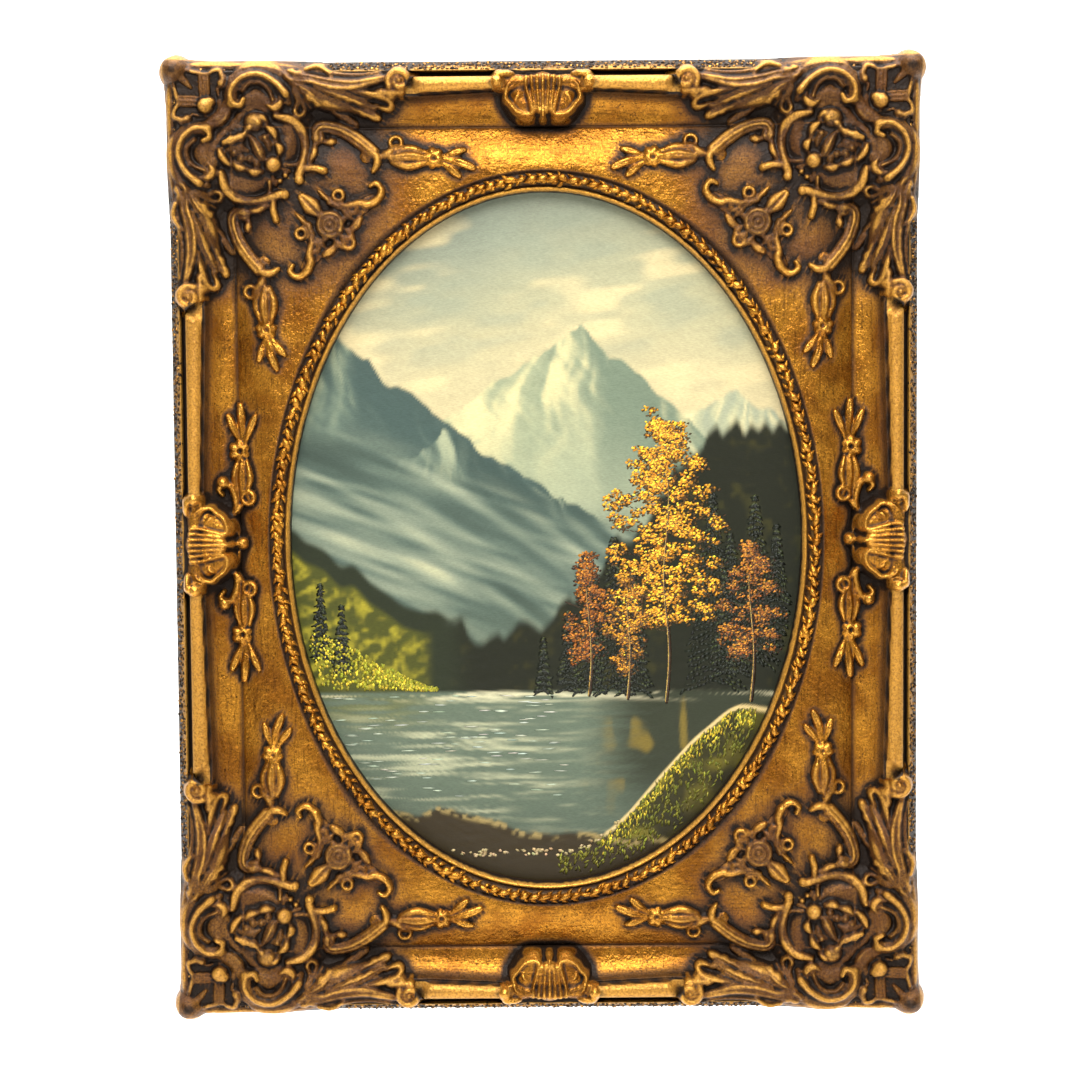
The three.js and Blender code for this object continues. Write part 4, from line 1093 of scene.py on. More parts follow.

# %% [markdown]
# ## Where wax and painted shade go, and where gilding is rubbed
# A gilder brushes dark wax over the whole frame and wipes it off again. It stays in the hollows and goes from the
# crests. The same darkening also paints in the shade that falls in the hollows, beside the castings and in the upper
# corners, and that is most of what makes carving readable. So one grid of heights of the whole front is made, and
# each point is compared with the mean height round it, near and far: lower than its surroundings means wax and
# painted shade, and higher means rubbed gold. The result goes to the meshes as attributes.

# %% Heights of the whole front
LEFT, TOP = -HALF_WIDE - OVERHANG, HALF_TALL + OVERHANG
grid_x = np.arange(LEFT, -LEFT + STEP / 2, STEP)
grid_y = np.arange(TOP, -TOP - STEP / 2, -STEP)
GX, GY = np.meshgrid(grid_x, grid_y)
plain_front = np.where((np.abs(GX) <= HALF_WIDE) & (np.abs(GY) <= HALF_TALL), ground_height(GX, GY), 5.0)
front_height = plain_front.copy()


def set_in(patch, rows, columns):
    """Put a patch of heights into the grid of the front."""
    front_height[rows, columns] = np.maximum(front_height[rows, columns], patch)


wide = corner.height.shape[0]
for rows_of, flip_v in ((slice(0, wide), 1), (slice(-wide, None), -1)):
    for columns_of, flip_u in ((slice(0, wide), 1), (slice(-wide, None), -1)):
        set_in(corner.height[::flip_v, ::flip_u], rows_of, columns_of)
deep, reach = short_middle.height.shape
start = (len(grid_x) - reach) // 2
set_in(short_middle.height, slice(0, deep), slice(start, start + reach))
set_in(short_middle.height[::-1], slice(-deep, None), slice(start, start + reach))
deep, reach = long_middle.height.shape
start = (len(grid_y) - reach) // 2
set_in(long_middle.height.T[::-1], slice(start, start + reach), slice(0, deep))
set_in(long_middle.height.T[::-1, ::-1], slice(start, start + reach), slice(-deep, None))
print("front drawn on", front_height.shape, "points")

# %% Compare each point with what is round it
BOSS_AT, KNOB_AT = 48.0, 5.6
from_side, from_end = edge_distances(GX, GY)
in_corner = ease(150, 110, from_side) * ease(150, 110, from_end)
on_boss = ease(19.5, 15, np.hypot(from_side - BOSS_AT, from_end - BOSS_AT))
from_knob = np.hypot(from_side - KNOB_AT, from_end - KNOB_AT)
# the corners' darkening weighs twice as much in the upper half: painted shade, as the light falls from above
upper_shade_weight = 0.5 + 0.5 * (GY > 0)
relief = np.maximum(front_height - plain_front, 0)
on_front = ease(-1.5, 0.5, np.minimum(from_side, from_end))
# lower than the mean round it means wax, and also painted shade where shade falls in the hollows
hollow = np.zeros_like(relief)
for radius, weight in ((0.9, 0.6), (2.2, 0.42), (5.0, 0.12)):
    below_relief = soften(relief, radius) - relief
    below_front = soften(front_height, radius) - front_height
    lower = np.where(relief > 1, np.minimum(below_relief, below_front), below_relief)
    hollow += weight * np.maximum(lower, 0)
# wax and painted shadow: darker on the bare ground beside a casting and widely round it, most in the corners, and
# wax and painted shade in the creases of the mouldings
no_casting = relief < 0.4
shallow = np.minimum(relief, 5)
close_by = ease(0.35, 1.7, soften(shallow, 1.9)) * no_casting
round_about = ease(0.4, 3.0, soften(shallow, 8.0)) * (0.4 + 0.6 * no_casting) * (0.25 + 0.4 * in_corner)
creases = soften(np.maximum(soften(plain_front, 1.4) - plain_front, 0), 0.7)
hollow = np.clip(np.maximum.reduce([hollow, close_by, round_about, creases / 1.2 * (relief < 1)]), 0, 1) * on_front
# the bosses and the tips of the knobs are made darker than the rest, and the corners too; the upper corners get
# twice as much, which is painted shade of the light from above
hollow = np.maximum(hollow, (0.12 + 0.75 * hollow) * on_boss)
hollow = hollow + in_corner * upper_shade_weight * np.where(no_casting, 0.3, 0.13 * ease(0.4, 2.0, relief))
knob_darkening = 0.2 + 0.42 * ease(5.4, 1.0, from_knob + 1.8 * patches(GX, GY, 3.4, 31))
hollow = np.clip(np.maximum(hollow, knob_darkening * ease(10, 9, from_knob)), 0, 1)
crest = np.maximum(front_height - soften(front_height, 2.6), 0) / 1.9
crest = crest * (1 - 0.4 * on_boss) * (1 - 0.2 * in_corner) * ease(8.0, 9.5, from_knob)
crest = np.clip(crest + 0.07 * np.maximum(relief - soften(relief, 6.0), 0), 0, 1)
covered = ease(0.3, 1.2, relief) * (0.35 + 0.65 * in_corner)
print("hollow on average", round(float(hollow.mean()), 3), "crest", round(float(crest.mean()), 3))


def store(piece, name, values):
    """Keep one value for each point of a piece as an attribute."""
    attribute = piece.data.attributes.new(name, "FLOAT", "POINT")
    attribute.data.foreach_set("value", np.asarray(values, np.float32))


def read_front(grid, x, y):
    """Values of a grid of the front at given places."""
    return look_up(grid, (x - LEFT) / STEP, (TOP - y) / STEP)


def tone(piece):
    """Give a gilded piece its values of wax and painted shade, of rubbed gold and of the ramp, from the front."""
    x, y, height = lying(piece)
    offset = oval_offset(x, y)
    from_side, from_end = edge_distances(x, y)
    from_edge = np.minimum(from_side, from_end)
    on_face = ease(BOARD_FACE + 0.2, 15.4, height)
    wax_and_shade, rubbed = mix(0.5, read_front(hollow, x, y), on_face), read_front(crest, x, y) * on_face
    if piece is border:
        # the low parts of the leaves get wax and painted shade, their tops rubbed gold
        wax_and_shade, rubbed = 0.36 * ease(27.9, 26.2, height), 0.8 * ease(27.6, 30.0, height)
    else:
        # darker under the leaf border and on the band under the stones, as wax and painted shade, and black in the
        # channel by the rod, as its painted shadow
        under_leaves = ease(LIP_WIDE - 0.2, LIP_WIDE + 0.6, offset) * ease(LEAF_OUTER + 1.6, LEAF_OUTER, offset)
        past_band = from_edge - BAND_WIDE
        in_channel = ease(-1.6, -0.4, past_band) * ease(2.0, 1.2, past_band)
        in_band = 0.5 * ease(BAND_WIDE, BAND_WIDE - 1, from_edge)
        wax_and_shade = np.maximum.reduce([wax_and_shade, 0.6 * under_leaves, np.maximum(in_channel, in_band) * (piece is mouldings)])
    store(piece, "level", from_end < from_side)
    along_rod = ease(BAND_WIDE + 1.5, BAND_WIDE + 2.5, from_edge)
    along_rod = along_rod * ease(ROD_AT_CORNER + 6, ROD_AT_CORNER + 2, from_edge)
    thinned = np.maximum(read_front(covered, x, y), 0.95 * along_rod * ease(30, 33, height))
    store(piece, "hollow", np.maximum(wax_and_shade, 0.2 * along_rod * (piece is mouldings)))
    store(piece, "crest", rubbed)
    store(piece, "cast", thinned * (piece is not border))
    on_ramp = ease(COVE_END - 0.5, COVE_END + 1.5, from_edge) * ease(LEAF_OUTER - 1, LEAF_OUTER + 1, offset)
    store(piece, "ramp", on_ramp)
    return piece


for piece in [mouldings, border, *ornaments]:
    tone(piece)

# %% [markdown]
# ## Colours
# Colours are picked as sRGB hex values, as they look on a screen, and a shader needs them linear.

# %% Hex to linear
def linear(code):
    """An sRGB hex colour as linear red, green and blue."""
    raw = np.array([int(code[i:i + 2], 16) / 255 for i in (1, 3, 5)])
    return np.where(raw <= 0.04045, raw / 12.92, ((raw + 0.055) / 1.055) ** 2.4)


def colour(code):
    return (*linear(code), 1.0)


def start_material(material):
    """Clear a material and give it a Principled shader and Object coordinates."""
    material.use_nodes = True
    tree = material.node_tree
    tree.nodes.clear()
    output = add(tree, "ShaderNodeOutputMaterial")
    shader = add(tree, "ShaderNodeBsdfPrincipled")
    tree.links.new(shader.outputs[0], output.inputs["Surface"])
    where = add(tree, "ShaderNodeTexCoord").outputs["Object"]
    return tree, shader, where


def per_metre(millimetres):
    """The scale of a noise whose patches are about this many millimetres across."""
    return 1000.0 / millimetres

# %% [markdown]
# ## Gilding over bole, toned with wax and painted shade
# The frame is bronze-gilded: metal leaf over a red-brown clay called bole. Rubbed crests are pale and shiny, the
# flats are a deep mottled gold where the bole shows through, and dark wax fills the hollows. The same dark layers
# also paint in the shade in the hollows, the shadows beside the castings and the darker upper corners. The shader
# starts from gold, then lays on mottling, bole, and wax with painted shade, in the order a gilder would, each held
# back by the attributes made above and broken up by noise of a real size.

# %% Gilding
def gild(material, crusty=False):
    """Gilding over bole, toned with wax and painted shade. crusty is for the stones of the edge, which are darker.
    """
    tree, shader, where = start_material(material)

    def noise(size, detail=3.0, rough=0.55, distort=0.0):
        return add(tree, "ShaderNodeTexNoise", {"Scale": per_metre(size), "Detail": detail, "Roughness": rough,
                                                "Distortion": distort}, {"Vector": where}).outputs["Fac"]

    def between(value, low_end, high_end, to_low=0.0, to_high=1.0):
        return add(tree, "ShaderNodeMapRange", {"From Min": low_end, "From Max": high_end, "To Min": to_low,
                                                "To Max": to_high, "interpolation_type": "SMOOTHSTEP"},
                   {"Value": value}).outputs[0]

    def maths(operation, a, b):
        links = {k: v for k, v in ((0, a), (1, b)) if not isinstance(v, float)}
        values = {k: v for k, v in ((0, a), (1, b)) if isinstance(v, float)}
        return add(tree, "ShaderNodeMath", {"operation": operation, "use_clamp": True, **values}, links).outputs[0]

    def lay_over(under, code, share):
        fixed = {0: share} if isinstance(share, float) else {}
        linked = {} if fixed else {0: share}
        node = add(tree, "ShaderNodeMix", {"data_type": "RGBA", 7: colour(code), **fixed}, {6: under, **linked})
        return node.outputs[2]

    wax_and_shade_at, crest_at, ramp_at, cast_at, level_at = (
        add(tree, "ShaderNodeAttribute", {"attribute_name": name}).outputs["Fac"]
        for name in ("hollow", "crest", "ramp", "cast", "level"))
    gold = add(tree, "ShaderNodeMix", {"data_type": "RGBA", 6: colour("#8E5816"), 7: colour("#BC8028")},
               {0: between(noise(24), 0.35, 0.65)}).outputs[2]
    # the gilding is thinner on the ramp and on the castings, where brown shows through it
    grains = between(noise(1.3, 5.0, 0.7), 0.42, 0.66)
    clouds = between(noise(13, 4.0, 0.6), 0.42, 0.62)
    thin = maths("MAXIMUM", between(ramp_at, 0.0, 1.0, 0.2, 0.42), between(cast_at, 0.0, 1.0, 0.0, 0.72))
    browned = maths("ADD", grains, maths("MULTIPLY", clouds, 0.5))
    face = lay_over(gold, "#54300F", maths("MULTIPLY", browned, thin))
    bole = maths("MULTIPLY", between(noise(2.4, 4.0, 0.7), 0.55, 0.7), between(noise(17), 0.45, 0.6, 0.15, 0.6))
    face = lay_over(face, "#4A2210", bole)

    def brushed(scale):
        """Fine streaks that run the way the gilder's brush went."""
        drawn = add(tree, "ShaderNodeMapping", {"Scale": scale}, {"Vector": where})
        return add(tree, "ShaderNodeTexNoise", {"Scale": per_metre(1.3), "Detail": 3.0, "Roughness": 0.6},
                   {"Vector": drawn}).outputs["Fac"]

    strokes = add(tree, "ShaderNodeMix", {"data_type": "FLOAT"},
                  {0: level_at, 2: brushed((1.0, 1.0, 0.1)), 3: brushed((0.1, 1.0, 1.0))}).outputs[0]
    face = lay_over(face, "#3A1F0C", maths("MULTIPLY", between(strokes, 0.53, 0.66), 0.45))
    specks = maths("MULTIPLY", between(noise(1.0, 2.0, 0.6), 0.57, 0.64),
                   between(noise(12, 3.0), 0.4, 0.6, 0.15, 1.0))
    face = lay_over(face, "#2A170A", maths("MULTIPLY", specks, 0.8))
    uneven = maths("MULTIPLY", maths("SUBTRACT", noise(1.2, 4.0, 0.65), 0.5), 0.9)
    # the hollow attribute, broken up by noise, sets where wax and painted shade go
    deep = add(tree, "ShaderNodeMath", {"operation": "ADD"}, {0: wax_and_shade_at, 1: uneven}).outputs[0]
    toned_and_shaded = between(deep, 0.0, 0.42)
    wax_and_shade = between(deep, 0.3, 0.72)
    if crusty:
        face = lay_over(face, "#A87B3C", 0.75)
        toned_and_shaded = between(noise(2.4, 2.0, 0.6), 0.64, 0.5)
        wax_and_shade = between(noise(2.4, 2.0, 0.6), 0.57, 0.47)
    # brown toning and near-black wax: where they follow the hollow attribute they are also painted shade and painted
    # shadow
    face = lay_over(face, "#3E2410", maths("MULTIPLY", toned_and_shaded, 0.8))
    face = lay_over(face, "#120B06", maths("MULTIPLY", wax_and_shade, 0.94))
    rubbed = maths("MULTIPLY", between(crest_at, 0.3, 1.0),
                   maths("SUBTRACT", 1.0, maths("MULTIPLY", grains, 0.6)))
    face = lay_over(face, "#D89E42", maths("MULTIPLY", rubbed, 0.62))
    dull = maths("ADD", between(toned_and_shaded, 0.0, 1.0, 0.25, 0.5), maths("MULTIPLY", grains, 0.14))
    fine = add(tree, "ShaderNodeBump", {"Strength": 0.6, "Distance": 0.0006}, {"Height": noise(1.1, 3.0)})
    broad = add(tree, "ShaderNodeBump", {"Strength": 0.45, "Distance": 0.0015},
                {"Height": noise(3.6, 2.0), "Normal": fine})
    join(tree, shader, {"Base Color": face, "Metallic": between(toned_and_shaded, 0.0, 1.0, 0.84, 0.3), "Roughness": dull,
                        "Normal": broad})
    shader.inputs["Specular IOR Level"].default_value = 0.25


gild(gilded)
gild(crusted, crusty=True)
for piece in [mouldings, border, *ornaments]:
    piece.data.materials.clear()
    piece.data.materials.append(gilded)
print("gilding nodes:", len(gilded.node_tree.nodes))

# %% [markdown]
# ## Steel clips, brass screws and the hanging plate
# On the back, zinc-plated steel plates hold the board and brass screws hold them. They keep the solid
# model's meshes and only get their finish: zinc is grey with a faint spangle, brass is brown where it
# tarnished.

# %% Metal fittings
def metal(name, code, spotted, size, roughness):
    """A metal with faint spots of a second colour."""
    material = bpy.data.materials.new(name)
    tree, shader, where = start_material(material)
    spots = add(tree, "ShaderNodeTexNoise", {"Scale": per_metre(size), "Detail": 4.0}, {"Vector": where})
    range_of = add(tree, "ShaderNodeMapRange", {"From Min": 0.4, "From Max": 0.65}, {"Value": spots.outputs["Fac"]})
    shade = add(tree, "ShaderNodeMix", {"data_type": "RGBA", 6: colour(code), 7: colour(spotted)}, {0: range_of})
    rough = add(tree, "ShaderNodeMapRange", {"To Min": roughness, "To Max": roughness + 0.2},
                {"Value": spots.outputs["Fac"]})
    bump = add(tree, "ShaderNodeBump", {"Strength": 0.2, "Distance": 0.0002}, {"Height": spots.outputs["Fac"]})
    join(tree, shader, {"Base Color": shade.outputs[2], "Roughness": rough, "Normal": bump})
    shader.inputs["Metallic"].default_value = 1.0
    return material


zinc = metal("zinc_plated_pressed_steel", "#8E9093", "#6F7276", 2.5, 0.36)
brass = metal("tarnished_turned_brass", "#B58B43", "#7A5A2A", 1.6, 0.32)
for name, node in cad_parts.items():
    finish = zinc if "board_clip" in name or name == "toothed_hanger" else brass if "screw" in name else None
    if finish:
        for slot in node.material_slots:
            slot.material = finish
print("fittings finished")

# %% [markdown]
# ## The painted board
# The picture is oil on a thin oval board: an evening lake under mountains, in grey-greens and creams with
# golden trees. It isn't a copy of any painting. It is built up as a painter would, from the sky forward,
# each layer a colour with a soft or ragged edge, and each point of a fine mesh keeps its mixed colour. The
# lights that a painter puts on last, thick and short, are real dabs of paint standing on the board.

# %% Layers of paint, from the sky forward
def over(under, code, share):
    """Lay a colour over what is there."""
    return under + (linear(code) - under) * np.clip(share, 0, 1)[..., None]


def ground_coat(c, code):
    """One colour, as large as the picture."""
    return np.zeros_like(c) + linear(code)


def laid_on(c, body, share):
    """A painted part laid on what is there."""
    return c + (body - c) * share[..., None]


def streaks(x, y, long, wide, lean, seed):
    """Brush streaks `long` by `wide` millimetres that lean by an angle in degrees."""
    c, s = math.cos(math.radians(lean)), math.sin(math.radians(lean))
    return patches((c * x + s * y) / long, (-s * x + c * y) / wide, 1.0, seed)


def peak(x, y, apex, slopes, seed, ragged=3.0):
    """How far below the outline of a peak a point is, in millimetres."""
    dx = x - apex[0]
    fall = np.where(dx < 0, slopes[0], slopes[1]) * np.abs(dx) ** 0.93
    outline = apex[1] - fall + ragged * patches(x, 0 * x, 9, seed) + 0.4 * ragged * patches(x, 0 * x, 3, seed + 1)
    return outline - y


def gullies(x, y, apex, seed, count=9):
    """Rays that run down from a peak and break up, for rock, scree and mist."""
    angle = np.arctan2(x - apex[0], apex[1] + 30 - y) + 0.09 * patches(x, y, 21, seed + 3)
    far = np.hypot(x - apex[0], y - apex[1])
    rays = patches(angle * count, far / 34, 1.0, seed)
    rays = rays + 0.45 * patches(angle * count * 2.7, far / 13, 1.0, seed + 1)
    return rays + 0.3 * streaks(x, y, 15, 3, -50, seed + 2)


# how much of red, green and blue the dusk leaves in the sky
DUSK = np.array([0.76, 0.8, 0.86])


def paint_sky(x, y):
    """A pale sky that darkens upwards, with long clouds."""
    c = np.zeros((*np.shape(x), 3)) + linear("#CFC5A0")
    c = over(c, "#B5B698", ease(60, 140, y + 12 * patches(x, y, 60, 31)))
    c = over(c, "#83928A", ease(105, 200, y - 0.25 * x + 14 * patches(x, y, 45, 32)) * 0.85)
    cloud = 0.6 * streaks(x, y, 46, 14, 8, 33) + 0.4 * streaks(x, y, 17, 6, 8, 34)
    c = over(c, "#E2D5AA", ease(0.05, 0.6, cloud) * ease(40, 90, y) * 0.75)
    return over(c, "#93A092", ease(0.1, 0.6, -cloud) * ease(70, 120, y) * 0.4)


def paint_mountain(c, x, y, apex, slopes, seed, light, shade, snow, haze, soft):
    """A peak lit from the left, with snow on top and haze at its foot."""
    below = peak(x, y, apex, slopes, seed)
    inside = ease(-soft, soft, below)
    rays = gullies(x, y, apex, seed + 5)
    side = np.sign(apex[0] - x) * ease(0, 26, np.abs(x - apex[0]))
    lit = ease(-0.9, 0.9, 0.8 * rays + 0.8 * side)
    body = over(ground_coat(c, shade), light, lit)
    body = over(body, snow, ease(0.0, 0.9, 0.8 * rays + 0.4 * side) * ease(85, 4, below) * 0.8)
    body = over(body, haze, ease(15, 120, below) * 0.85)
    return laid_on(c, body, inside)


def paint_slopes(c, x, y):
    """Long misty slopes that sweep down to the lake."""
    edge = 14 - 0.3 * x + 9 * patches(x, 0 * x, 40, 51)
    inside = ease(-14, 10, edge - y)
    sweep = streaks(x, y + 0.0016 * (x + 120) ** 2, 60, 7, -22, 52) + 0.5 * streaks(x, y, 26, 3.4, -20, 53)
    body = over(ground_coat(c, "#4C605E"), "#8B9A8E", ease(-0.5, 1.2, sweep))
    body = over(body, "#2F3F3D", ease(0.0, 1.1, -sweep) * 0.75)
    body = over(body, "#B9BD9F", ease(0.45, 1.3, sweep) * ease(60, -20, y) * 0.5)
    body = over(body, "#53645D", ease(-20, -70, y) * 0.6)
    return laid_on(c, body, inside)


def wood_edge(x):
    """Top of the dark wood on the right."""
    return -50 + 118 * ease(-22, 124, x) + 7 * patches(x, 0 * x, 13, 61) + 4 * patches(x, 0 * x, 4, 62)


SHORE = -86.0


def paint_wood(c, x, y):
    """The dark wood on the right and the hill on the left."""
    edge = wood_edge(x)
    above_far_shore, above_shore = ease(SHORE - 8, SHORE, y), ease(SHORE - 4, SHORE + 2, y)
    c = over(c, "#181C10", ease(-3.5, 4.5, edge - y) * above_far_shore)
    lights = 0.6 * patches(x, y, 9, 63) + 0.4 * patches(x, y, 3, 64)
    c = over(c, "#3C3C17", ease(0.1, 0.9, lights) * ease(0, 10, edge - y) * above_far_shore * 0.55)
    hill = -52 + 44 * ease(-62, -150, x) + 4 * patches(x, 0 * x, 9, 65)
    c = over(c, "#20281A", ease(-2, 3, hill + 12 - y) * above_shore * ease(-40, -60, x))
    c = over(c, "#3F4519", ease(-1.5, 2, hill - y) * above_shore * ease(-62, -74, x))
    moss = ease(-0.2, 0.8, 0.6 * streaks(x, y, 9, 4, 30, 66) + 0.4 * patches(x, y, 2.2, 67))
    return over(c, "#8E8B2A", moss * ease(1, 5, hill - y) * ease(SHORE, SHORE + 6, y) * ease(-64, -76, x))


def paint_lake(c, x, y):
    """Still water with ripples, the wood mirrored in it and a light line at the shore."""
    water = ease(SHORE + 1, SHORE - 1.5, y)
    ripple = streaks(x, y, 34, 1.8, 0, 71) + 0.5 * streaks(x, y, 12, 0.9, 0, 72)
    body = over(ground_coat(c, "#56675F"), "#9FA996", ease(-0.1, 1.2, ripple) * ease(60, -20, x))
    mirror = ease(14, 60, x + 8 * ripple) * ease(-176, -128, y)
    body = over(body, "#23281A", mirror * 0.9)
    body = over(body, "#8C7B2E", ease(0.35, 0.9, patches(x, y * 0.6, 7, 73)) * mirror * 0.5)
    far_bank = ease(-50, -90, x) * ease(SHORE - 30, SHORE - 4, y)
    body = over(body, "#4D5527", far_bank * ease(-0.6, 0.5, ripple) * 0.75)
    body = over(body, "#34433E", ease(-120, -190, y) * 0.55)
    body = over(body, "#D5D6BE", ease(SHORE - 7, SHORE - 2, y) * ease(0.0, 0.8, ripple) * 0.6)
    return laid_on(c, body, water)


def bank_edge(x):
    """Top of the grassy bank in the lower right."""
    return -176 + 78 * ease(6, 112, x) + 5 * patches(x, 0 * x, 22, 81)


def paint_bank(c, x, y):
    """The grassy bank on the right and the stony shore in front."""
    below = bank_edge(x) - y
    c = over(c, "#C8B98A", ease(-1.2, 0.2, below) * ease(3.5, 1.0, below))
    body = over(ground_coat(c, "#2C2C10"), "#68651C", ease(-0.2, 0.9, patches(x, y, 8, 82)))
    body = over(body, "#1C180B", ease(10, 50, below) * 0.8)
    c = laid_on(c, body, ease(1.6, 3.2, below))
    stones = -171 + 20 * ease(40, -110, x) + 4 * patches(x, 0 * x, 15, 83)
    c = over(c, "#2E2715", ease(-1.5, 2, stones - y))
    rim = ease(-1.5, 0.5, stones - y) * ease(4.5, 1.5, stones - y)
    return over(c, "#8D8157", rim * ease(-0.4, 0.3, patches(x, y, 2.5, 84)))


# what the aged varnish takes from red, green and blue
YELLOWED = np.array([0.97, 0.86, 0.69])
# apex, slopes, seed, light, shade, snow, haze and softness of edge, from the furthest forward
MOUNTAINS = [
    ((104, 84), (0.8, 0.7), 111, "#A9B198", "#84938A", "#CCC8A6", "#B0B698", 2.0),
    ((20, 122), (0.95, 1.25), 121, "#93A08B", "#66796F", "#CFCBA4", "#93A08F", 1.2),
    ((-122, 118), (0.7, 1.05), 101, "#5F746F", "#3B5052", "#8B9A88", "#6D8078", 1.2),
    ((-58, 62), (1.0, 0.8), 131, "#6F837C", "#364A4B", "#9BA792", "#6A7C74", 1.0),
]


def paint_picture(x, y):
    """Linear colour of the picture at each point."""
    c = paint_sky(x, y) * DUSK
    for mountain in MOUNTAINS:
        c = paint_mountain(c, x, y, *mountain)
    for paint_part in (paint_slopes, paint_wood, paint_lake, paint_bank):
        c = paint_part(c, x, y)
    brush = 0.5 * streaks(x, y, 9, 1.3, 12, 91) + 0.5 * streaks(x, y, 5, 1.1, -30, 92)
    return np.clip(c * YELLOWED * (1 + 0.07 * brush)[..., None], 0.003, 0.95)

# %% The board itself
BOARD_COLUMNS, BOARD_ROWS = 220, 300


def board_mesh():
    """A closed oval board with a fine painted face and a plain edge and back."""
    a, b = np.meshgrid(np.linspace(-1, 1, BOARD_COLUMNS + 1), np.linspace(-1, 1, BOARD_ROWS + 1))
    x = (SIGHT_A + BOARD_OVERLAP) * a * np.sqrt(1 - b * b / 2)
    y = (SIGHT_B + BOARD_OVERLAP) * b * np.sqrt(1 - a * a / 2)
    inside = ease(0, 6, -oval_offset(x, y))
    lumps = 0.5 * streaks(x, y, 11, 1.4, 12, 91) + 0.5 * streaks(x, y, 6, 1.5, -30, 92)
    h = BOARD_FACE - 0.12 + 0.11 * lumps * inside
    count = x.size
    number = np.arange(count).reshape(x.shape)
    face = np.stack([number[:-1, :-1], number[:-1, 1:], number[1:, 1:], number[1:, :-1]], axis=-1).reshape(-1, 4)
    rim = np.concatenate([number[0, :-1], number[:-1, -1], number[-1, :0:-1], number[:0:-1, 0]])
    rim_x, rim_y = x.ravel()[rim], y.ravel()[rim]
    under = count + np.arange(len(rim))
    inner = under + len(rim)
    points = np.concatenate([
        np.stack([x.ravel(), y.ravel(), h.ravel()], axis=1),
        np.stack([rim_x, rim_y, np.full(len(rim), BOARD_BACK)], axis=1),
        np.stack([rim_x * 0.5, rim_y * 0.5, np.full(len(rim), BOARD_BACK)], axis=1),
        np.array([[0.0, 0.0, BOARD_BACK]])])
    step = np.roll(np.arange(len(rim)), -1)
    wall = np.stack([rim, under, under[step], rim[step]], axis=1)
    back = np.stack([under, inner, inner[step], under[step]], axis=1)
    hub = np.full(len(rim), len(points) - 1)
    fan = np.stack([inner, hub, inner[step]], axis=1)
    return points, np.concatenate([face, wall, back]), fan


def add_colours(piece, colours):
    """Keep a linear colour for each point."""
    attribute = piece.data.color_attributes.new("paint", "FLOAT_COLOR", "POINT")
    rgba = np.ones((len(piece.data.vertices), 4), np.float32)
    rgba[:, :3] = colours
    attribute.data.foreach_set("color", rgba.ravel())


board_points, quads, fan = board_mesh()
board = make_piece("oil_painted_board", board_points, quads)
work = bmesh.new()
work.from_mesh(board.data)
work.verts.ensure_lookup_table()
for triangle in fan:
    work.faces.new([work.verts[i] for i in triangle])
bmesh.ops.recalc_face_normals(work, faces=work.faces)
work.to_mesh(board.data)
work.free()
faces_front = [face.normal.y < -0.5 for face in board.data.polygons]
board.data.polygons.foreach_set("use_smooth", faces_front)
x, y, height = lying(board)
tones = paint_picture(x, y)
tones[height < BOARD_BACK + 0.5] = linear("#7A5C3A")
add_colours(board, tones)
print("board:", triangles(board), "triangles")

# %% [markdown]
# ## Dabs of thick paint
# Leaves, grass and glints are put on with the tip of a loaded brush. Each dab is a small closed lens of
# paint, longer than it is wide, with its own colour. They are laid in clumps that follow boughs and banks,
# darker dabs first and the light ones on top.

# %% Lay the dabs
draw = np.random.default_rng(2024)
DAB_SIDES = 5
DAB_POINTS = DAB_SIDES + 2


class Dabs:
    """A growing heap of dabs that ends as one mesh."""

    def __init__(self):
        self.rows = []

    def lay(self, x, y, long, wide, lean, code, vary=0.18, lift=0.3, loose=22):
        """Lay dabs of about one colour, size and lean, each a little different."""
        x, y = np.atleast_1d(x), np.atleast_1d(y)
        n = len(x)
        tint = linear(code) * np.exp(vary * draw.normal(size=(n, 1)))
        tint = tint * np.exp(0.06 * draw.normal(size=(n, 3)))
        size = draw.uniform(0.7, 1.3, (2, n))
        angle = np.radians(lean + draw.normal(size=n) * loose)
        sides = [long * size[0] / 2, wide * size[1] / 2]
        self.rows.append(np.column_stack([x, y, *sides, angle, np.full(n, lift), tint]))

    def mesh(self):
        """Points, faces and colours of all dabs that lie in the opening."""
        data = np.concatenate(self.rows)
        data = data[oval_offset(data[:, 0], data[:, 1]) < -2.5]
        x, y, long, wide, angle, lift = data[:, :6].T
        points = []
        for k in range(DAB_SIDES):
            a = 2 * np.pi / DAB_SIDES * k
            du, dv = long * math.cos(a), wide * math.sin(a)
            points.append(np.stack([x + du * np.cos(angle) - dv * np.sin(angle),
                                    y + du * np.sin(angle) + dv * np.cos(angle), BOARD_FACE + 0 * x - 0.05], axis=1))
        points.append(np.stack([x, y, BOARD_FACE + lift * 0.5], axis=1))
        points.append(np.stack([x, y, BOARD_FACE - 0.4 + 0 * x], axis=1))
        faces = []
        for k in range(DAB_SIDES):
            after = (k + 1) % DAB_SIDES
            faces += [(k, after, DAB_SIDES), (after, k, DAB_SIDES + 1)]
        faces = np.array(faces)[None] + DAB_POINTS * np.arange(len(x))[:, None, None]
        tints = np.repeat(data[:, 6:], DAB_POINTS, axis=0)
        return np.stack(points, axis=1).reshape(-1, 3), faces.reshape(-1, 3), tints


def clump(n, centre, spread):
    """Places in a round clump that thins outwards."""
    angle, far = draw.uniform(0, 2 * np.pi, n), np.sqrt(draw.uniform(0, 1, n))
    return centre[0] + spread[0] * far * np.cos(angle), centre[1] + spread[1] * far * np.sin(angle)


dabs = Dabs()


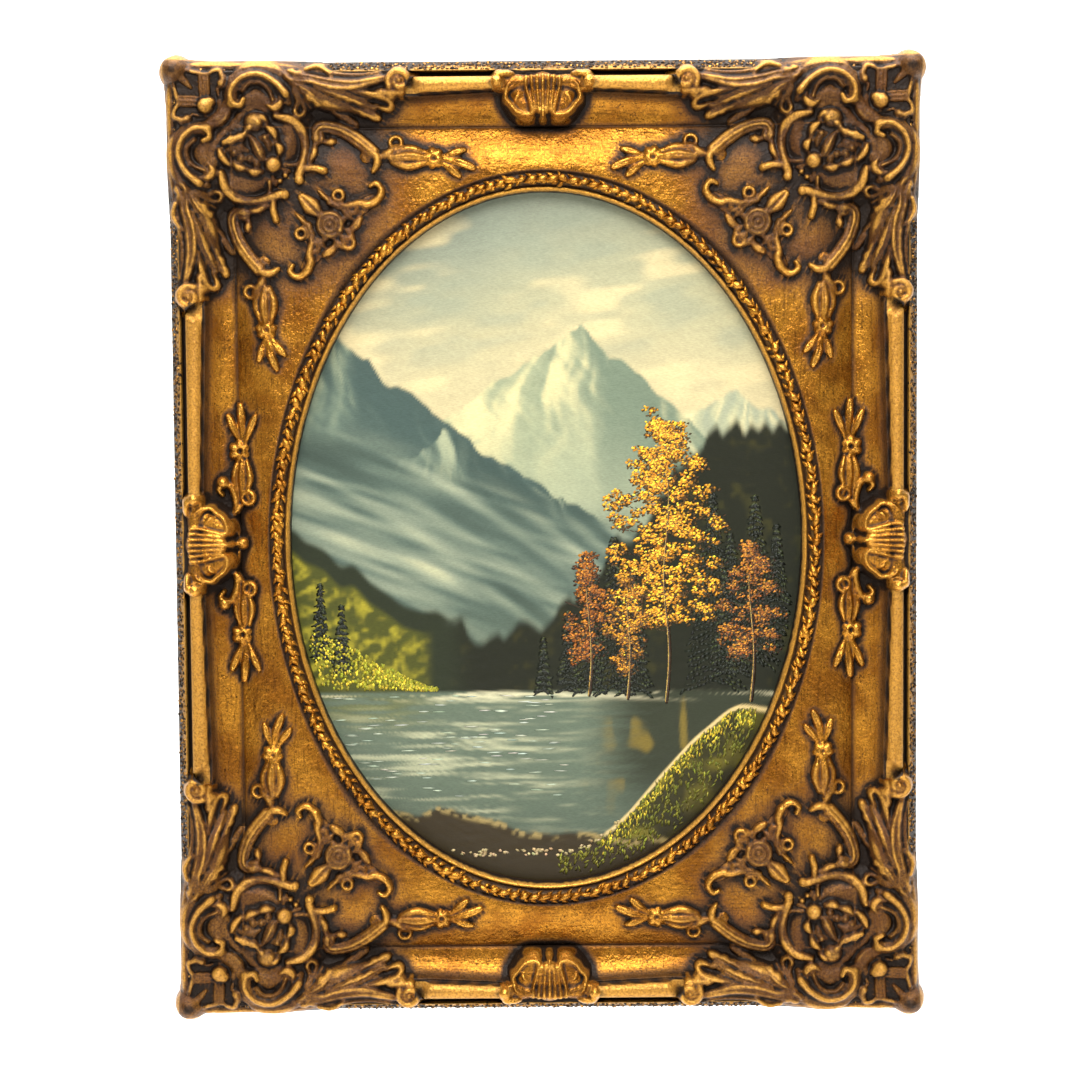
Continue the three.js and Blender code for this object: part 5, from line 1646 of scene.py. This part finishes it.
def fir(x, foot, tall, wide, codes):
    """A fir: boughs that widen downwards, dark ones under and lighter tips over."""
    for level in np.linspace(0, 1, int(tall / 3.0)):
        y = foot + tall * (1 - level)
        reach = wide * (0.08 + level) * draw.uniform(0.75, 1.1)
        for side in (-1, 1):
            n = int(3 + 4 * level)
            xs = x + side * reach * np.linspace(0.1, 1, n)
            ys = y - 0.45 * np.abs(xs - x) + draw.normal(size=n) * 0.6
            dabs.lay(xs, ys, 4.2, 1.6, -side * 28, codes[0], lift=0.08)
            if draw.uniform() < 0.55:
                dabs.lay(xs[n // 2:], ys[n // 2:] + 0.7, 2.6, 0.9, -side * 28, codes[1], lift=0.16)


def broad_tree(x, foot, tall, wide, codes, number, boughs):
    """A tree in autumn leaf: a trunk, boughs, dark inner leaves, golden ones and a few pale lights."""
    trunk = np.linspace(foot, foot + tall * 0.8, int(tall / 1.5))
    thick = 1 - 0.6 * (trunk - foot) / tall
    sway = 1.4 * np.sin(trunk / 14)
    dabs.lay(x + sway, trunk, 3.4, 2.4 * thick, 90, "#2E2012", lift=0.25, loose=5)
    dabs.lay(x - 0.7 * thick + sway, trunk, 2.8, 0.8 * thick, 90, "#A38543", lift=0.35, loose=5)
    places = []
    for k in range(boughs):
        up = 0.3 + 0.68 * k / (boughs - 1)
        reach = wide * math.sin(math.pi * min(0.98, (up - 0.12) / 0.9)) ** 0.75
        side = 1 if k % 2 else -1
        places.append((up, side * reach * draw.uniform(0.75, 1.05)))
        line = np.linspace(0, 1, 12)
        bough = x + places[-1][1] * line, foot + tall * (up - 0.05) + 5 * line
        dabs.lay(*bough, 2.6, 0.7, 25 * side, "#3A2814", loose=8)
    for i in range(number):
        up, reach = places[i % boughs]
        out = draw.uniform(-0.35, 1.05)
        centre = (x + reach * out, foot + tall * up + 3.4 * draw.normal() - 0.1 * abs(reach * out))
        for share, (code, lift) in enumerate(zip(codes, (0.15, 0.25, 0.35))):
            xs, ys = clump((12, 10, 5)[share], (centre[0] - share * 0.9, centre[1] + share * 0.9),
                           (5.4 - share, 3.0 - 0.5 * share))
            dabs.lay(xs, ys, 2.1, 1.2, 20, code, vary=0.3, lift=lift)


def strew(count, from_x, to_x, y_of, *look, **manner):
    """Lay single dabs at random places from left to right. y_of gives their height in the picture."""
    xs = draw.uniform(from_x, to_x, count)
    dabs.lay(xs, y_of(xs, count), *look, **manner)


FIRS = [(24, -84, 56), (38, -84, 84), (49, -84, 66), (118, -70, 92), (104, -74, 76), (130, -60, 66), (12, -84, 42),
        (-2, -85, 28), (94, -80, 104), (-128, -66, 40), (-116, -72, 34)]
for fx, foot, tall in FIRS:
    fir(fx, foot, tall, tall * 0.15, ("#161A0F", "#343A1B"))
broad_tree(116, -92, 88, 17, ("#33200C", "#7A4614", "#B07420"), 74, 9)
broad_tree(24, -88, 74, 14, ("#33200C", "#74400F", "#A8691C"), 56, 8)
broad_tree(68, -92, 158, 34, ("#45300C", "#B07414", "#E8B02C"), 260, 17)
broad_tree(46, -90, 66, 12, ("#3A260D", "#865612", "#BE8420"), 44, 7)
# grass on the bank and its lights, moss on the hill and its lights, glints on the lake, stones on the shore
strew(1500, 6, 140, lambda xs, n: bank_edge(xs) - 62 * draw.uniform(0, 1, n) ** 1.5 - 2,
      3.4, 1.1, 74, "#5E5C1A", vary=0.35, lift=0.15)
strew(330, 30, 140, lambda xs, n: bank_edge(xs) - draw.uniform(1.5, 12, n), 2.6, 0.9, 78, "#B8A22C", vary=0.3)
strew(520, -140, -62, lambda xs, n: SHORE + draw.uniform(1, 34, n) * ease(-54, -140, xs) + 1,
      2.4, 1.7, 80, "#857F1C", vary=0.3)
strew(200, -140, -70, lambda xs, n: SHORE + draw.uniform(3, 34, n) * ease(-60, -140, xs) + 1,
      2.0, 1.4, 80, "#C8B030", vary=0.3)
strew(110, -120, 10, lambda xs, n: SHORE - draw.uniform(2, 60, n), 8.0, 0.6, 0, "#A9B09C", lift=0.15, loose=1.5)
strew(80, -100, 40, lambda xs, n: bank_edge(np.maximum(xs, 8)) + draw.uniform(-2, 2, n),
      2.6, 1.7, 0, "#A8956A", lift=0.4)
dab_points, dab_faces, tints = dabs.mesh()
brushwork = make_piece("thick_paint_dabs", dab_points, dab_faces)
add_colours(brushwork, np.clip(tints, 0.004, 0.9))
print("dabs:", len(dab_points) // DAB_POINTS, "with", triangles(brushwork), "triangles")

# %% [markdown]
# ## Oil paint under varnish
# Oil paint has a soft relief of brush marks, and a coat of varnish gives it a clear gloss that has gone
# slightly warm. The colour is the one kept in the mesh, with fine streaks of the brush in the shader.

# %% Varnished oil paint
oil = bpy.data.materials.new("varnished_oil_paint")
tree, shader, where = start_material(oil)
kept = add(tree, "ShaderNodeAttribute", {"attribute_name": "paint"})
stretch = add(tree, "ShaderNodeMapping", {"Scale": (1.0, 1.0, 4.0), "Rotation": (0.0, 0.35, 0.0)},
              {"Vector": where})
hairs = add(tree, "ShaderNodeTexNoise", {"Scale": per_metre(2.2), "Detail": 4.0, "Roughness": 0.6},
            {"Vector": stretch}).outputs["Fac"]
streak = add(tree, "ShaderNodeMapRange", {"From Min": 0.3, "From Max": 0.7, "To Min": 0.86, "To Max": 1.12},
             {"Value": hairs})
varied = add(tree, "ShaderNodeVectorMath", {"operation": "SCALE"}, {0: kept.outputs["Color"], "Scale": streak})
ridges = add(tree, "ShaderNodeBump", {"Strength": 0.25, "Distance": 0.0004}, {"Height": hairs})
join(tree, shader, {"Base Color": varied, "Normal": ridges})
GLOSS = {"Roughness": 0.42, "Specular IOR Level": 0.25, "Coat Weight": 0.12, "Coat Roughness": 0.1}
for socket, value in GLOSS.items():
    shader.inputs[socket].default_value = value
for piece in (board, brushwork):
    piece.data.materials.append(oil)
print("oil paint finished")

# %% [markdown]
# ## What each piece stands for
# Every piece of the frame stands for the solid frame, and the board and its dabs for the solid board.

# %% Join the pieces to the model
for piece in [mouldings, edge, border, *ornaments]:
    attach(piece, "root")
    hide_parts("frame")
for piece in (board, brushwork):
    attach(piece, "root")
    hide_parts("painted_board")
total = sum(triangles(p) for p in [mouldings, edge, border, *ornaments, board, brushwork])
print("all pieces:", total, "triangles")

# %% [markdown]
# ## Studio
# A pale floor runs up into a pale backdrop, which has a light of its own. The large soft lights are above
# and in front, weak ones stand to the left, to the right and below, and the pale room is all round. Metal
# only looks like metal if it has light and dark to reflect, so the room is darker than the lights.

# %% Floor, backdrop and lights
FLOOR_FRONT, FLOOR_BACK, SWEEP = -6.0, 1.6, 0.9


def sweep():
    """A floor that curves up behind the object."""
    turns = np.linspace(0.1, math.pi / 2, 12)
    bend = [(FLOOR_BACK + SWEEP * math.sin(a), SWEEP - SWEEP * math.cos(a)) for a in turns]
    profile = [(FLOOR_FRONT, 0.0), (FLOOR_BACK, 0.0), *bend, (FLOOR_BACK + SWEEP, 5.0)]
    floor_z = low[2] - 0.25
    points = [(side * 7.0, y, floor_z + z) for y, z in profile for side in (-1, 1)]
    faces = [(2 * i, 2 * i + 1, 2 * i + 3, 2 * i + 2) for i in range(len(profile) - 1)]
    mesh = bpy.data.meshes.new("paper_sweep")
    mesh.from_pydata(points, [], faces)
    mesh.polygons.foreach_set("use_smooth", [True] * len(faces))
    return bpy.data.objects.new("paper_sweep", mesh)


paper = bpy.data.materials.new("matt_white_paper")
tree, shader, where = start_material(paper)
shader.inputs["Base Color"].default_value = colour("#F7F6F3")
shader.inputs["Roughness"].default_value = 0.9
backdrop = sweep()
bpy.context.scene.collection.objects.link(backdrop)
backdrop.data.materials.append(paper)


def soft_light(name, place, size, power, target):
    """A rectangular light that faces a point."""
    light = bpy.data.lights.new(name, "AREA")
    light.shape, light.size, light.size_y, light.energy = "RECTANGLE", size[0], size[1], power
    lamp = bpy.data.objects.new(name, light)
    lamp.location = place
    direction = np.array(target) - np.array(place)
    lamp.rotation_euler = Vector(direction).to_track_quat("-Z", "Y").to_euler()
    bpy.context.scene.collection.objects.link(lamp)


# name, place from the middle of the picture, size in metres and power in watts
LIGHTS = [
    ("soft_above", (-0.3, -1.2, 1.45), (1.5, 0.8), 22), ("soft_overhead", (0.0, -0.3, 1.6), (1.3, 1.2), 40),
    ("soft_front", (0.0, -1.0, 0.78), (0.8, 0.5), 15), ("soft_left", (-1.6, -1.3, 0.3), (0.7, 1.5), 1.8),
    ("soft_right", (1.7, -1.2, 0.1), (0.6, 1.4), 1.2), ("soft_below", (0.1, -1.2, -0.95), (1.4, 0.5), 6),
]
for name, (x, y, z), size, power in LIGHTS:
    soft_light(name, (x, y, CENTRE_Z + z), size, power, (0.0, 0.0, CENTRE_Z))
soft_light("backdrop_light", (0.0, 0.4, CENTRE_Z + 2.2), (3.0, 1.0), 150, (0.0, 2.4, CENTRE_Z - 0.2))
world = bpy.data.worlds.new("pale_room")
bpy.context.scene.world = world
world.use_nodes = True
room = world.node_tree.nodes["Background"]
room.inputs["Color"].default_value = colour("#F4F1EC")
room.inputs["Strength"].default_value = 0.25
bpy.context.scene.view_settings.view_transform = "Standard"
print(len(bpy.data.lights), "lights")

# %% [markdown]
# ## Camera
# The photograph was taken from a little above the middle, about a metre and a half away, with a lens that
# keeps the sides of the frame almost straight.

# %% Camera
# how high a strip the view takes in at the object, both in metres, and degrees
VIEW_HIGH, DISTANCE, ELEVATION, ROLL = 0.6092, 1.55, 4.2, 0.45
SENSOR = 36.0
aim = np.array([-0.0026, -0.014, CENTRE_Z - 0.0002])
camera = bpy.data.cameras.new("camera")
camera.sensor_width = SENSOR
camera.lens = SENSOR * DISTANCE / VIEW_HIGH
rig = bpy.data.objects.new("camera", camera)
tilt = math.radians(ELEVATION)
rig.location = aim + DISTANCE * np.array([0.0, -math.cos(tilt), math.sin(tilt)])
rig.rotation_euler = (math.radians(90) - tilt, math.radians(ROLL), 0.0)
bpy.context.scene.collection.objects.link(rig)
bpy.context.scene.camera = rig
print("lens", round(camera.lens, 1), "mm")
